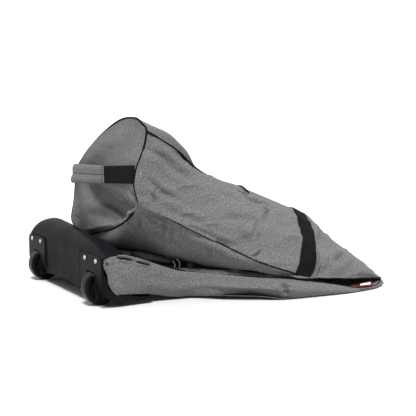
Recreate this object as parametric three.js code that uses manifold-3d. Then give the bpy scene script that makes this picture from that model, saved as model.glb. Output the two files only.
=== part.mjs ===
// Wheeled travel bag, lying folded in half: the wheel half on the floor, the handle half back on top of it.
// Millimetres, +Z up. X runs along the bag from the wheel end (-X) to the fold (+X); -Y is the near side.
// The origin is on the floor under the middle of the bag's box.
import * as THREE from 'three'
import * as BufferGeometryUtils from 'three/addons/utils/BufferGeometryUtils.js'
import Module from 'manifold-3d'

const wasm = await Module()
wasm.setup()

// ---- driving dimensions -------------------------------------------------------------------------
const FABRIC = 2                 // lined fabric panel, as a solid
const FOLD_X = 341               // where both halves end at the fold
const STATIONS = 12              // rings along each half
const SEAM_GAP = 4               // from a panel's edge to its seam line, room for the piping
const PIPING_R = 2.5
const WEBBING_W = 38
const WEBBING_T = 2
const CLEAR = 0.4                // gap kept between pieces that touch

const WHEEL_X = -305
const WHEEL_Y = 160
const WHEEL_R = 38
const WHEEL_W = 30
const HUB_R = 26
const BUSH_R = 8
const AXLE_R = 4
const HOUSING_W = 106
const HOUSING_T = 4
const HOUSING_FRONT = -325
const HOUSING_TOP = 108
const HOUSING_BOTTOM = 13
const HOUSING_BEND = 42
const HOUSING_TAIL = -205
const FLANGE_W = 15
const FLANGE_T = 3
const FLANGE_TOP = 88
const SLOT_W = 38
const CHEEK_T = 3.5
const WELL_R = 43
const RIVET_Z = 98
const RIVET_SPREAD = 28
const RIVET_R = 2

// ---- materials ------------------------------------------------------------------------------------
const material = (color, roughness, metalness = 0) =>
  new THREE.MeshStandardMaterial({ color, roughness, metalness })
const greyFabric = material(0x6f7073, 0.95)
const liningFabric = material(0x5a5b5e, 0.95)
const blackPiping = material(0x141416, 0.7)
const blackWebbing = material(0x18181a, 0.85)
const coatedBlack = material(0x1e1e21, 0.5)
const blackPlastic = material(0x17171a, 0.45)
const wheelRubber = material(0x101012, 0.35)
const steel = material(0xc9c5bd, 0.3, 1)
const boardPlastic = material(0x2a2a2d, 0.7)
const labelWhite = material(0xdedcd8, 0.8)

const bag = new THREE.Group()

function addPiece(name, geometry, pieceMaterial, place = new THREE.Vector3()) {
  const mesh = new THREE.Mesh(geometry, pieceMaterial)
  mesh.name = name
  mesh.position.copy(place)
  bag.add(mesh)
}

// ---- solids ---------------------------------------------------------------------------------------
function toManifold(geometry) {
  const bare = geometry.clone()
  for (const attribute of Object.keys(bare.attributes)) {
    if (attribute !== 'position') bare.deleteAttribute(attribute)
  }
  const merged = BufferGeometryUtils.mergeVertices(bare, 1e-4)
  const mesh = new wasm.Mesh({
    numProp: 3,
    vertProperties: new Float32Array(merged.attributes.position.array),
    triVerts: new Uint32Array(merged.index.array),
  })
  return new wasm.Manifold(mesh)
}

function toGeometry(solid) {
  const mesh = solid.getMesh()
  const geometry = new THREE.BufferGeometry()
  geometry.setAttribute('position', new THREE.BufferAttribute(mesh.vertProperties, 3))
  geometry.setIndex(new THREE.BufferAttribute(mesh.triVerts, 1))
  return geometry
}

function boxBetween(low, high) {
  const size = high.map((value, axis) => value - low[axis])
  const middle = high.map((value, axis) => (value + low[axis]) / 2)
  return new THREE.BoxGeometry(...size).translate(...middle)
}

// A closed mesh from points and triangles, turned so that its faces point out.
function closedMesh(points, triangles) {
  let volume = 0
  for (const [a, b, c] of triangles) {
    volume += points[a].dot(new THREE.Vector3().crossVectors(points[b], points[c]))
  }
  const turned = volume < 0 ? triangles.map(([a, b, c]) => [a, c, b]) : triangles
  const geometry = new THREE.BufferGeometry()
  geometry.setAttribute('position', new THREE.Float32BufferAttribute(points.flatMap((p) => p.toArray()), 3))
  geometry.setIndex(turned.flat())
  return geometry
}

function gridNormals(grid) {
  const rows = grid.length
  const columns = grid[0].length
  return grid.map((row, i) => row.map((_, j) => {
    const along = grid[Math.min(i + 1, rows - 1)][j].clone().sub(grid[Math.max(i - 1, 0)][j])
    const across = grid[i][Math.min(j + 1, columns - 1)].clone().sub(grid[i][Math.max(j - 1, 0)])
    return along.cross(across).normalize()
  }))
}

// A sheet: the grid moved along its normals by `outer`, backed by the grid moved by `inner`.
function sheetSolid(grid, outer, inner) {
  const normals = gridNormals(grid)
  const rows = grid.length
  const columns = grid[0].length
  const count = rows * columns
  const layer = (depth) => grid.flatMap((row, i) =>
    row.map((p, j) => p.clone().addScaledVector(normals[i][j], depth)))
  const points = [...layer(outer), ...layer(inner)]
  const at = (i, j, back) => i * columns + j + (back ? count : 0)
  const triangles = []
  const quad = (a, b, c, d) => triangles.push([a, b, c], [a, c, d])
  for (let i = 0; i < rows - 1; i++) {
    for (let j = 0; j < columns - 1; j++) {
      quad(at(i, j, 0), at(i + 1, j, 0), at(i + 1, j + 1, 0), at(i, j + 1, 0))
      quad(at(i, j, 1), at(i, j + 1, 1), at(i + 1, j + 1, 1), at(i + 1, j, 1))
    }
  }
  for (let i = 0; i < rows - 1; i++) {
    quad(at(i, 0, 0), at(i, 0, 1), at(i + 1, 0, 1), at(i + 1, 0, 0))
    quad(at(i, columns - 1, 0), at(i + 1, columns - 1, 0), at(i + 1, columns - 1, 1), at(i, columns - 1, 1))
  }
  for (let j = 0; j < columns - 1; j++) {
    quad(at(0, j, 0), at(0, j + 1, 0), at(0, j + 1, 1), at(0, j, 1))
    quad(at(rows - 1, j, 0), at(rows - 1, j, 1), at(rows - 1, j + 1, 1), at(rows - 1, j + 1, 0))
  }
  return closedMesh(points, triangles)
}

// A flat section carried along a path. `section` holds [sideways, up] pairs; `up` is the section's up.
function sweepSolid(path, section, up, closed = false) {
  const points = []
  const triangles = []
  const sides = section.length
  const rings = path.length
  path.forEach((centre, i) => {
    const next = path[closed ? (i + 1) % rings : Math.min(i + 1, rings - 1)]
    const previous = path[closed ? (i + rings - 1) % rings : Math.max(i - 1, 0)]
    const tangent = next.clone().sub(previous).normalize()
    const side = new THREE.Vector3().crossVectors(tangent, up).normalize()
    const rise = new THREE.Vector3().crossVectors(side, tangent)
    for (const [s, r] of section) {
      points.push(centre.clone().addScaledVector(side, s).addScaledVector(rise, r))
    }
  })
  for (let i = 0; i < (closed ? rings : rings - 1); i++) {
    const a = i * sides
    const b = ((i + 1) % rings) * sides
    for (let j = 0; j < sides; j++) {
      const k = (j + 1) % sides
      triangles.push([a + j, a + k, b + k], [a + j, b + k, b + j])
    }
  }
  if (!closed) {
    for (let j = 1; j < sides - 1; j++) {
      const end = (rings - 1) * sides
      triangles.push([0, j + 1, j], [end, end + j, end + j + 1])
    }
  }
  return closedMesh(points, triangles)
}

const UP = new THREE.Vector3(0, 0, 1)
const ALONG = new THREE.Vector3(1, 0, 0)

function roundSection(radius, sides = 6) {
  return Array.from({ length: sides }, (_, k) => {
    const angle = (2 * Math.PI * k) / sides
    return [radius * Math.cos(angle), radius * Math.sin(angle)]
  })
}

const flatSection = (thickness, width) => [
  [-thickness / 2, -width / 2],
  [thickness / 2, -width / 2],
  [thickness / 2, width / 2],
  [-thickness / 2, width / 2],
]

// ---- rails: lines that run along the bag, each through a few points [x, y, z] ------------------------
function pointOnRail(rail, fraction) {
  const start = rail[0][0]
  const x = start + (rail[rail.length - 1][0] - start) * fraction
  let i = 0
  while (i < rail.length - 2 && rail[i + 1][0] < x) i += 1
  const t = (x - rail[i][0]) / (rail[i + 1][0] - rail[i][0])
  return new THREE.Vector3(...rail[i]).lerp(new THREE.Vector3(...rail[i + 1]), t)
}

const mirrored = (rail) => rail.map(([x, y, z]) => [x, -y, z])

// Handle half, seen from the handle end: near seams, top, far seams, underside.
const upper = {
  nearLow: [[-240, -215, 218], [-198, -232, 194], [-141, -252, 161], [-37, -292, 106], [1, -315, 85],
    [72, -335, 58], [105, -337, 46], [200, -343, 33], [290, -340, 24], [FOLD_X, -326, 20]],
  nearSide: [[-244, -219, 290], [-141, -243, 236], [-37, -268, 184], [65, -295, 140], [150, -315, 102],
    [220, -325, 72], [290, -332, 47], [FOLD_X, -323, 35]],
  nearTop: [[-222, -215, 378], [-166, -225, 333], [-120, -225, 309], [-61, -225, 268], [7, -225, 242],
    [65, -225, 219], [163, -225, 181], [203, -225, 162], [268, -215, 105], [FOLD_X, -200, 50]],
  topNear: [[-222, -80, 376], [-120, -80, 309], [-61, -80, 270], [7, -80, 244], [65, -80, 221],
    [163, -85, 184], [203, -85, 162], [268, -80, 108], [FOLD_X, -60, 60]],
  topFar: [[-214, 110, 314], [-61, 115, 235], [65, 115, 200], [163, 115, 165], [210, 110, 140],
    [270, 105, 92], [FOLD_X, 100, 54]],
  farTop: [[-207, 200, 236], [-60, 215, 178], [100, 240, 132], [200, 250, 100], [270, 240, 70],
    [FOLD_X, 232, 45]],
  farSide: [[-207, 212, 184], [-60, 238, 139], [100, 290, 98], [200, 314, 72], [290, 327, 46],
    [FOLD_X, 323, 35]],
  farLow: [[-208, 215, 136], [-60, 240, 100], [100, 300, 62], [200, 330, 38], [290, 335, 25],
    [FOLD_X, 326, 20]],
  underFar: [[-212, 85, 118], [-60, 90, 90], [100, 100, 52], [200, 110, 33], [FOLD_X, 110, 20]],
  underNear: [[-222, -60, 117], [-188, -140, 102], [-151, -215, 91], [-75, -262, 79], [-2, -300, 69],
    [62, -322, 54], [105, -318, 44], [200, -290, 33], [FOLD_X, -200, 20]],
}

// Wheel half: its sides, its sunk top and its floor.
const lowerNearTop = [[-314, -205, 100], [-290, -204, 106], [-244, -204, 101], [-207, -205, 85],
  [-126, -212, 61], [-34, -270, 52], [87, -335, 41.5], [160, -345, 27], [225, -350, 16], [290, -342, 13],
  [FOLD_X, -326, 13]]
const lowerNearFloor = [[-314, -204, 43], [-290, -204, 22], [-207, -204, 20], [-126, -206, 4], [-60, -268, 14],
  [40, -322, 3], [143, -330, 3], [225, -345, 3], [290, -340, 4], [FOLD_X, -325, 4]]
const lowerFloor = [[-246, -150, 21], [-200, -150, 18], [-150, -150, 0], [300, -200, 0], [FOLD_X, -200, 3]]
const lowerTop = [[-130, -140, 62], [-34, -180, 43], [87, -220, 32], [225, -230, 14], [FOLD_X, -215, 13]]
const lowerTopMiddle = [[-130, 0, 64], [-34, 0, 38], [87, 0, 26], [225, 0, 14], [FOLD_X, 0, 13]]

const fractions = Array.from({ length: STATIONS }, (_, i) => i / (STATIONS - 1))

// A panel between two seams: a smooth line across it at every station, kept off both seams.
function panelGrid(rings, columns) {
  return rings.map((ring) => {
    const line = new THREE.CatmullRomCurve3(ring)
    const length = line.getLength()
    const edge = Math.min(SEAM_GAP / length, 0.35)
    const share = (j) => edge + ((1 - 2 * edge) * j) / (columns - 1)
    return Array.from({ length: columns }, (_, j) => line.getPointAt(share(j)))
  })
}

// Rings of the handle half, by their share of its length; the panels stop short of the end seam.
const CUFF = 0.014
const upperRings = (rails) => fractions.map((fraction) =>
  rails.map((rail) => pointOnRail(rail, CUFF + (1 - CUFF) * fraction)))

// Rings of the wheel half, at the places where its rails bend.
const lowerXs = [-314, -290, -244, -207, -150, -126, -60, -34, 40, 87, 143, 225, 290, FOLD_X]
const pointAtX = (rail, x) => pointOnRail(rail, (x - rail[0][0]) / (rail[rail.length - 1][0] - rail[0][0]))
const lowerRings = (rails, start = lowerXs[0]) => [start, ...lowerXs.filter((x) => x > start)].map((x) =>
  rails.map((rail) => pointAtX(rail, x)))

const panelSolid = (grid) => sheetSolid(grid, 0, -FABRIC)

function seamPiping(name, rings) {
  addPiece(name, sweepSolid(rings.flat(), roundSection(PIPING_R), UP), blackPiping)
}

// ---- handle half ------------------------------------------------------------------------------------
const backGrid = panelGrid(upperRings([upper.nearTop, upper.topNear, upper.topFar, upper.farTop]), 9)
const nearGrid = panelGrid(upperRings([upper.nearLow, upper.nearSide, upper.nearTop]), 6)

function buildUpperPanels() {
  addPiece('upper_back_panel', panelSolid(backGrid), greyFabric)
  addPiece('upper_near_gusset', panelSolid(nearGrid), greyFabric)
  const far = panelGrid(upperRings([upper.farTop, upper.farSide, upper.farLow]), 5)
  addPiece('upper_far_gusset', panelSolid(far), greyFabric)
  const front = panelGrid(upperRings([upper.farLow, upper.underFar, upper.underNear, upper.nearLow]), 9)
  addPiece('upper_front_panel', panelSolid(front), greyFabric)
  seamPiping('upper_near_lower_piping', upperRings([upper.nearLow]))
  seamPiping('upper_near_top_piping', upperRings([upper.nearTop]))
  seamPiping('upper_far_top_piping', upperRings([upper.farTop]))
  seamPiping('upper_far_lower_piping', upperRings([upper.farLow]))
}

// The end panel's seam: the bag's outline at the handle end, with rounded corners.
function endOutline() {
  const ring = ['nearLow', 'nearSide', 'nearTop', 'topNear', 'topFar', 'farTop', 'farSide', 'farLow',
    'underFar', 'underNear']
  const corners = ring.map((name) => new THREE.Vector3(...upper[name][0]))
  return new THREE.CatmullRomCurve3(corners, true, 'centripetal').getPoints(28).slice(0, -1)
}

function buildEndPanel() {
  const outline = endOutline()
  addPiece('end_panel_piping', sweepSolid(outline, roundSection(PIPING_R), ALONG, true), blackPiping)
  const centre = outline.reduce((sum, p) => sum.add(p), new THREE.Vector3()).divideScalar(outline.length)
  const rim = outline.map((p) => {
    const inward = centre.clone().sub(p)
    return p.clone().addScaledVector(inward, (PIPING_R + 2.5) / inward.length())
  })
  const count = rim.length
  const face = [...rim, centre]
  const points = [...face, ...face.map((p) => p.clone().addScaledVector(ALONG, FABRIC))]
  const triangles = []
  for (let i = 0; i < count; i++) {
    const k = (i + 1) % count
    const back = count + 1
    triangles.push([i, k, count], [k + back, i + back, count + back])
    triangles.push([i, i + back, k + back], [i, k + back, k])
  }
  addPiece('upper_end_panel', closedMesh(points, triangles), greyFabric)
}

// Compression strap: a band over the near gusset and the back panel, lying on them.
const STRAP_LOW = 0.592          // where its middle crosses the near lower seam, as a share of the length
const STRAP_RIDGE = 0.715        // where it crosses the near top seam

const ridgeLift = new THREE.Vector3(0, -0.5, 0.87)

function ridgePoint(share, lift) {
  return pointOnRail(upper.nearTop, share).addScaledVector(ridgeLift, lift)
}

// A band across both grids and over the piped ridge between them, standing `outer` proud of the skin.
function bandOver(middleAt, width, outer, inner) {
  const onGrid = (grid, j, share) => {
    const along = ((share - CUFF) / (1 - CUFF)) * (fractions.length - 1)
    const i = Math.min(Math.floor(along), fractions.length - 2)
    return grid[i][j].clone().lerp(grid[i + 1][j], along - i)
  }
  const half = width / 2 / (FOLD_X + 225)
  const edges = [-1, -0.5, 0, 0.5, 1]
  const nearRows = nearGrid[0].map((_, j) => {
    const share = middleAt(j / nearGrid[0].length)
    return edges.map((edge) => onGrid(nearGrid, j, share + edge * half))
  })
  const ridgeRow = edges.map((edge) => ridgePoint(middleAt(1) + edge * half, PIPING_R))
  const backRows = backGrid[0].map((_, j) => {
    const share = middleAt(1 + j / backGrid[0].length)
    return edges.map((edge) => onGrid(backGrid, j, share + edge * half))
  })
  return toManifold(sheetSolid([...nearRows, ridgeRow, ...backRows], -outer, inner))
}

// Everything just under the skin of the handle half, to cut what lies on it.
function underSkin() {
  const last = nearGrid[0].length - 1
  const groove = fractions.map((fraction, i) =>
    [nearGrid[i][last], ridgePoint(CUFF + (1 - CUFF) * fraction, PIPING_R), backGrid[i][0]])
  const under = (grid) => toManifold(sheetSolid(grid, CLEAR, -7))
  const line = fractions.map((fraction) => pointOnRail(upper.nearTop, CUFF + (1 - CUFF) * fraction))
  const cord = toManifold(sweepSolid(line, roundSection(PIPING_R + CLEAR), UP))
  return under(nearGrid).add(under(backGrid)).add(under(groove)).add(cord)
}

function buildStrap() {
  const middleAt = (share) => (share < 1
    ? STRAP_LOW + (STRAP_RIDGE - STRAP_LOW) * share ** 0.75
    : STRAP_RIDGE + 0.01 * Math.sin(Math.PI * (share - 1)))
  const band = bandOver(middleAt, WEBBING_W, WEBBING_T + CLEAR, -CLEAR / 2)
  const pieces = band.subtract(underSkin()).decompose()
  pieces.sort((a, b) => b.volume() - a.volume())
  addPiece('compression_strap', toGeometry(pieces[0]), blackWebbing)
}

// ---- zip: a straight stretch on the back panel, just behind its near seam ------------------------------
const ZIP_START = new THREE.Vector3(7, -203, 246.6)
const ZIP_END = new THREE.Vector3(160, -203, 185.6)
const ZIP_W = 9
const ZIP_T = 2
const ZIP_DIRECTION = ZIP_END.clone().sub(ZIP_START).normalize()
const ZIP_UP = new THREE.Vector3(-ZIP_DIRECTION.z, 0, ZIP_DIRECTION.x)
const SLIDER_AT = ZIP_START.clone().addScaledVector(ZIP_DIRECTION, 18)
const ZIP_TURN = Math.atan2(-ZIP_DIRECTION.z, ZIP_DIRECTION.x)

function alongZip(geometry) {
  return geometry.rotateY(ZIP_TURN).translate(...SLIDER_AT.toArray())
}

function buildZip() {
  const tape = sweepSolid([ZIP_START, ZIP_END], [[-ZIP_W / 2, -ZIP_T / 2], [ZIP_W / 2, -ZIP_T / 2],
    [ZIP_W / 2, ZIP_T / 2], [-ZIP_W / 2, ZIP_T / 2]], UP)
  addPiece('zip_tape', tape, blackWebbing)
  const body = toManifold(boxBetween([-7, -5, ZIP_T / 2 + CLEAR], [7, 5, ZIP_T / 2 + 3]))
  const lug = (x) => toManifold(boxBetween([x - 1, -8.5, ZIP_T / 2 + 1], [x + 1, -4, ZIP_T / 2 + 6]))
  const slider = body.add(lug(-5)).add(lug(5))
  addPiece('zip_slider', alongZip(toGeometry(slider)), steel)
  const pivotZ = ZIP_T / 2 + 4.5
  const barrel = toManifold(new THREE.CylinderGeometry(1.2, 1.2, 7, 10).rotateZ(Math.PI / 2)
    .translate(0, -6.8, pivotZ))
  const tab = toManifold(boxBetween([-3.5, -24, -0.8], [3.5, 0, 0.8]).rotateX(0.3)
    .translate(0, -6.8, pivotZ))
  addPiece('zip_puller', alongZip(toGeometry(barrel.add(tab))), steel)
}

// ---- grab handle ---------------------------------------------------------------------------------------
const HANDLE_NEAR = [-251, -212, 276]
const HANDLE_FAR = [-214, 198, 250]
const WRAP_START = -76
const WRAP_END = 90
const handleLine = new THREE.CatmullRomCurve3([
  new THREE.Vector3(...HANDLE_NEAR),
  new THREE.Vector3(-253, -140, 272),
  new THREE.Vector3(-255, WRAP_START, 268),
  new THREE.Vector3(-261, 5, 265),
  new THREE.Vector3(-264, 60, 263),
  new THREE.Vector3(-259, WRAP_END + 4, 260),
  new THREE.Vector3(-242, 150, 255),
  new THREE.Vector3(...HANDLE_FAR),
])

function buildGrabHandle() {
  const path = handleLine.getSpacedPoints(28)
  addPiece('handle_webbing', sweepSolid(path, flatSection(WEBBING_T, WEBBING_W), UP), blackWebbing)
  const wrapPath = path.filter((p) => p.y > WRAP_START && p.y < WRAP_END)
  const wrapSection = [[-5, -16], [-3, -21], [3, -21], [5, -16], [5, 16], [3, 21], [-3, 21], [-5, 16]]
  const outer = toManifold(sweepSolid(wrapPath, wrapSection, UP))
  const bore = toManifold(sweepSolid(path, flatSection(WEBBING_T + 2 * CLEAR, WEBBING_W + 2 * CLEAR), UP))
  addPiece('handle_wrap', toGeometry(outer.subtract(bore)), greyFabric)
}

// ---- wheel half: fabric ----------------------------------------------------------------------------------
const FLOOR_START = lowerFloor[0][0]
const TOP_START = lowerTop[0][0]

function buildLowerPanels() {
  const farTop = mirrored(lowerNearTop)
  const farFloor = mirrored(lowerNearFloor)
  const near = panelGrid(lowerRings([lowerNearFloor, lowerNearTop]), 3)
  addPiece('lower_near_gusset', panelSolid(near), greyFabric)
  const far = panelGrid(lowerRings([farTop, farFloor]), 3)
  addPiece('lower_far_gusset', panelSolid(far), greyFabric)
  const floor = lowerRings([farFloor, mirrored(lowerFloor), lowerFloor, lowerNearFloor], FLOOR_START)
  const pressedFlat = panelGrid(floor, 9).map((row) => row.map((p) => p.setZ(Math.max(p.z, 0))))
  addPiece('lower_back_panel', panelSolid(pressedFlat), greyFabric)
  const top = lowerRings([lowerNearTop, lowerTop, lowerTopMiddle, mirrored(lowerTop), farTop], TOP_START)
  addPiece('lower_front_panel', panelSolid(panelGrid(top, 11)), liningFabric)
  seamPiping('lower_near_top_piping', lowerRings([lowerNearTop]))
  seamPiping('lower_far_top_piping', lowerRings([farTop]))
  seamPiping('lower_near_floor_piping', lowerRings([lowerNearFloor]))
  seamPiping('lower_far_floor_piping', lowerRings([farFloor]))
}

// ---- wheel half: black end panel, curling over the top --------------------------------------------------
const END_FRONT = -320.6
const END_HALF_WIDTH = 196

// Height of the panel's crown across the bag, [y, z]: it slumps to the near side and rounds down
// at the far one.
const crownLine = [[-196, 112], [-150, 121], [-100, 131], [-50, 140], [0, 146], [60, 150], [110, 149],
  [145, 148], [172, 146], [188, 143], [196, 139]]
const ROUNDING_FOOT = 104        // where the front face starts to round over

function crownHeight(y) {
  const next = crownLine.findIndex(([lineY]) => lineY > y)
  if (next < 0) return crownLine[crownLine.length - 1][1]
  const [y0, z0] = crownLine[next - 1]
  const [y1, z1] = crownLine[next]
  return z0 + ((z1 - z0) * (y - y0)) / (y1 - y0)
}

function endPanelProfile(y) {
  const crown = crownHeight(y)
  const rise = crown - ROUNDING_FOOT
  const depth = 8 + 0.9 * rise
  const drop = 1 + (crown - crownLine[0][1]) / 42
  const rounding = [0, 30, 60, 90].map((degrees) => {
    const angle = (degrees * Math.PI) / 180
    return [END_FRONT + depth * (1 - Math.cos(angle)), ROUNDING_FOOT + rise * Math.sin(angle)]
  })
  return [[END_FRONT, 20], [END_FRONT, 52], ...rounding, [-266, crown - 3], [-246, crown - 10 * drop],
    [-222, crown - 22 * drop], [-190, crown - 35 * drop], [-137, crown - 46 * drop]]
}

function buildWheelEndPanel() {
  const columns = 13
  const step = (2 * END_HALF_WIDTH) / (columns - 1)
  const ys = Array.from({ length: columns }, (_, j) => -END_HALF_WIDTH + step * j)
  const profiles = ys.map(endPanelProfile)
  const grid = profiles[0].map((_, i) =>
    ys.map((y, j) => new THREE.Vector3(profiles[j][i][0], y, profiles[j][i][1])))
  let solid = toManifold(panelSolid(grid))
  for (const side of [-1, 1]) {
    const centre = side * WHEEL_Y
    const half = HOUSING_W / 2 + 2
    solid = solid.subtract(toManifold(boxBetween([-360, centre - half, 0], [-250, centre + half, 85])))
    for (const spread of [-RIVET_SPREAD, RIVET_SPREAD]) {
      solid = solid.subtract(rivetHole(centre + spread))
    }
  }
  addPiece('wheel_end_panel', toGeometry(solid), coatedBlack)
  addPiece('base_board', boxBetween([-240, -185, 26], [-60, 185, 29]), boardPlastic)
}

// ---- wheel half: housings, rivets, axles, wheels ------------------------------------------------------
function rivetHole(y) {
  return toManifold(new THREE.CylinderGeometry(RIVET_R + CLEAR, RIVET_R + CLEAR, 30, 12).rotateZ(Math.PI / 2)
    .translate(-320, y, RIVET_Z))
}

// The flange along both edges of the housing, turned in behind the plate and tapering out along the skid.
function flangeShape(bendX, bendZ) {
  const shape = new THREE.Shape()
  const inner = HOUSING_BEND - FLANGE_W
  shape.moveTo(HOUSING_FRONT + 1, FLANGE_TOP)
  shape.lineTo(HOUSING_FRONT + 1, bendZ)
  shape.absarc(bendX, bendZ, HOUSING_BEND - 1, Math.PI, 1.5 * Math.PI, false)
  shape.lineTo(HOUSING_TAIL - 12, HOUSING_BOTTOM + 1)
  shape.lineTo(bendX, bendZ - inner)
  shape.absarc(bendX, bendZ, inner, 1.5 * Math.PI, Math.PI, true)
  shape.closePath()
  return shape
}

// The housing in its own place: x and z as in the bag, y from the wheel's middle.
function housingSolid() {
  const outer = new THREE.Shape()
  const bendX = HOUSING_FRONT + HOUSING_BEND
  const bendZ = HOUSING_BOTTOM + HOUSING_BEND
  outer.moveTo(HOUSING_FRONT, HOUSING_TOP)
  outer.lineTo(HOUSING_FRONT, bendZ)
  outer.absarc(bendX, bendZ, HOUSING_BEND, Math.PI, 1.5 * Math.PI, false)
  outer.lineTo(HOUSING_TAIL, HOUSING_BOTTOM)
  outer.lineTo(HOUSING_TAIL, HOUSING_BOTTOM + 2)
  outer.lineTo(HOUSING_TAIL - 30, HOUSING_BOTTOM + HOUSING_T)
  outer.lineTo(bendX, HOUSING_BOTTOM + HOUSING_T)
  outer.absarc(bendX, bendZ, HOUSING_BEND - HOUSING_T, 1.5 * Math.PI, Math.PI, true)
  outer.lineTo(HOUSING_FRONT + HOUSING_T, HOUSING_TOP)
  outer.closePath()
  const strip = new THREE.ExtrudeGeometry(outer, { depth: HOUSING_W, bevelEnabled: false, curveSegments: 10 })
  strip.rotateX(Math.PI / 2).translate(0, HOUSING_W / 2, 0)

  // Seen from the front: rounded top corners.
  const outline = new THREE.Shape()
  const half = HOUSING_W / 2 - 0.01
  const corner = 15
  outline.moveTo(-half, 0)
  outline.lineTo(half, 0)
  outline.absarc(half - corner, HOUSING_TOP - 0.01 - corner, corner, 0, Math.PI / 2, false)
  outline.absarc(-half + corner, HOUSING_TOP - 0.01 - corner, corner, Math.PI / 2, Math.PI, false)
  outline.closePath()
  const window = new THREE.ExtrudeGeometry(outline, { depth: 260, bevelEnabled: false, curveSegments: 6 })
  window.rotateX(Math.PI / 2).rotateZ(Math.PI / 2).translate(-380, 0, 0)

  // The wheel's slot, and behind it the well that closes it.
  const slot = new THREE.CylinderGeometry(WELL_R - 3, WELL_R - 3, SLOT_W, 32).translate(WHEEL_X, 0, WHEEL_R)
  const slotFront = boxBetween([-360, -SLOT_W / 2, 0], [WHEEL_X, SLOT_W / 2, 66])
  const atWheel = (geometry) => geometry.translate(WHEEL_X, 0, WHEEL_R)
  const well = atWheel(new THREE.CylinderGeometry(WELL_R, WELL_R, SLOT_W + 2 * CHEEK_T, 32))
  const behind = boxBetween([HOUSING_FRONT + 1, -60, HOUSING_BOTTOM + 1], [-200, 60, HOUSING_TOP])
  const cheekDisc = new THREE.CylinderGeometry(21, 21, SLOT_W + 1, 24).translate(WHEEL_X, 0, WHEEL_R)
  const wheelRoom = new THREE.CylinderGeometry(60, 60, WHEEL_W + 3, 24).translate(WHEEL_X, 0, WHEEL_R)
  const axleHole = atWheel(new THREE.CylinderGeometry(AXLE_R + 0.3, AXLE_R + 0.3, 80, 16))

  const flange = new THREE.ExtrudeGeometry(flangeShape(bendX, bendZ),
    { depth: FLANGE_T, bevelEnabled: false, curveSegments: 10 }).rotateX(Math.PI / 2)
  const nearFlange = toManifold(flange.clone().translate(0, FLANGE_T - HOUSING_W / 2, 0))
  const farFlange = toManifold(flange.clone().translate(0, HOUSING_W / 2, 0))
  const wellShell = toManifold(well).intersect(toManifold(behind)).subtract(toManifold(slot))
  const ears = toManifold(cheekDisc).subtract(toManifold(wheelRoom))
  return toManifold(strip).intersect(toManifold(window))
    .subtract(toManifold(slot)).subtract(toManifold(slotFront))
    .add(wellShell).add(ears).add(nearFlange).add(farFlange).subtract(toManifold(axleHole))
}

function rivetSolid() {
  const profile = [[0, 0], [RIVET_R, 0], [RIVET_R, 9.5], [5.2, 9.5], [4.6, 10.8], [2.6, 11.6], [0, 11.8]]
  return new THREE.LatheGeometry(profile.map(([r, h]) => new THREE.Vector2(r, h)), 14)
}

function ringSolid(profile, segments) {
  const closed = [...profile, profile[0]].map(([r, h]) => new THREE.Vector2(r, h))
  return new THREE.LatheGeometry(closed, segments)
}

function buildWheel(prefix, centre) {
  const half = WHEEL_W / 2
  const tyre = ringSolid([[HUB_R + CLEAR, -half + 3], [WHEEL_R - 7, -half], [WHEEL_R - 2.2, -half + 4],
    [WHEEL_R - 0.4, -half + 8], [WHEEL_R, 0], [WHEEL_R - 0.4, half - 8], [WHEEL_R - 2.2, half - 4],
    [WHEEL_R - 7, half], [HUB_R + CLEAR, half - 3]], 32)
  addPiece(`${prefix}_tyre`, tyre, wheelRubber, centre)
  const hub = ringSolid([[BUSH_R + CLEAR, -half + 0.5], [BUSH_R + 4, -half + 0.5], [BUSH_R + 5, -half + 4],
    [HUB_R - 4, -half + 5], [HUB_R, -half + 3.5], [HUB_R, half - 3.5], [HUB_R - 4, half - 5],
    [BUSH_R + 5, half - 4], [BUSH_R + 4, half - 0.5], [BUSH_R + CLEAR, half - 0.5]], 24)
  addPiece(`${prefix}_hub`, hub, blackPlastic, centre)
  const bush = ringSolid([[AXLE_R + 0.25, -half - 0.6], [BUSH_R, -half - 0.6], [BUSH_R, half + 0.6],
    [AXLE_R + 0.25, half + 0.6]], 20)
  addPiece(`${prefix}_bush`, bush, steel, centre)
}

function buildAxle(name, centre) {
  const reach = SLOT_W / 2 + CHEEK_T
  const outline = [[0, -reach - 3], [6.5, -reach - 3], [6.5, -reach - 0.4], [AXLE_R, -reach - 0.4],
    [AXLE_R, reach + 0.4], [6.5, reach + 0.4], [6.5, reach + 3], [0, reach + 3]]
  addPiece(name, new THREE.LatheGeometry(outline.map(([r, h]) => new THREE.Vector2(r, h)), 20), steel, centre)
}

function buildWheelEnd() {
  const housing = housingSolid()
  for (const [side, word] of [[-1, 'near'], [1, 'far']]) {
    const y = side * WHEEL_Y
    const centre = new THREE.Vector3(WHEEL_X, y, WHEEL_R)
    let plate = housing.translate([0, y, 0])
    let backing = toManifold(boxBetween([END_FRONT + FABRIC + CLEAR, y - 40, RIVET_Z - 8],
      [END_FRONT + FABRIC + CLEAR + 1.6, y + 40, RIVET_Z + 3]))
    for (const [spread, place] of [[-RIVET_SPREAD, 'left'], [RIVET_SPREAD, 'right']]) {
      plate = plate.subtract(rivetHole(y + spread))
      backing = backing.subtract(rivetHole(y + spread))
      const rivet = rivetSolid().rotateZ(Math.PI / 2)
      addPiece(`${word}_rivet_${place}`, rivet, steel,
        new THREE.Vector3(HOUSING_FRONT + 9.5 - CLEAR, y + spread, RIVET_Z))
    }
    addPiece(`${word}_wheel_housing`, toGeometry(plate), blackPlastic)
    addPiece(`${word}_backing_plate`, toGeometry(backing), steel)
    buildAxle(`${word}_axle`, centre)
    buildWheel(`${word}_wheel`, centre)
  }
}

buildUpperPanels()
buildEndPanel()
buildStrap()
buildZip()
buildGrabHandle()
buildLowerPanels()
buildWheelEndPanel()
buildWheelEnd()
addPiece('care_label', boxBetween([240, -334, 17.2], [312, -300, 17.9]), labelWhite)

export default bag
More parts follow.
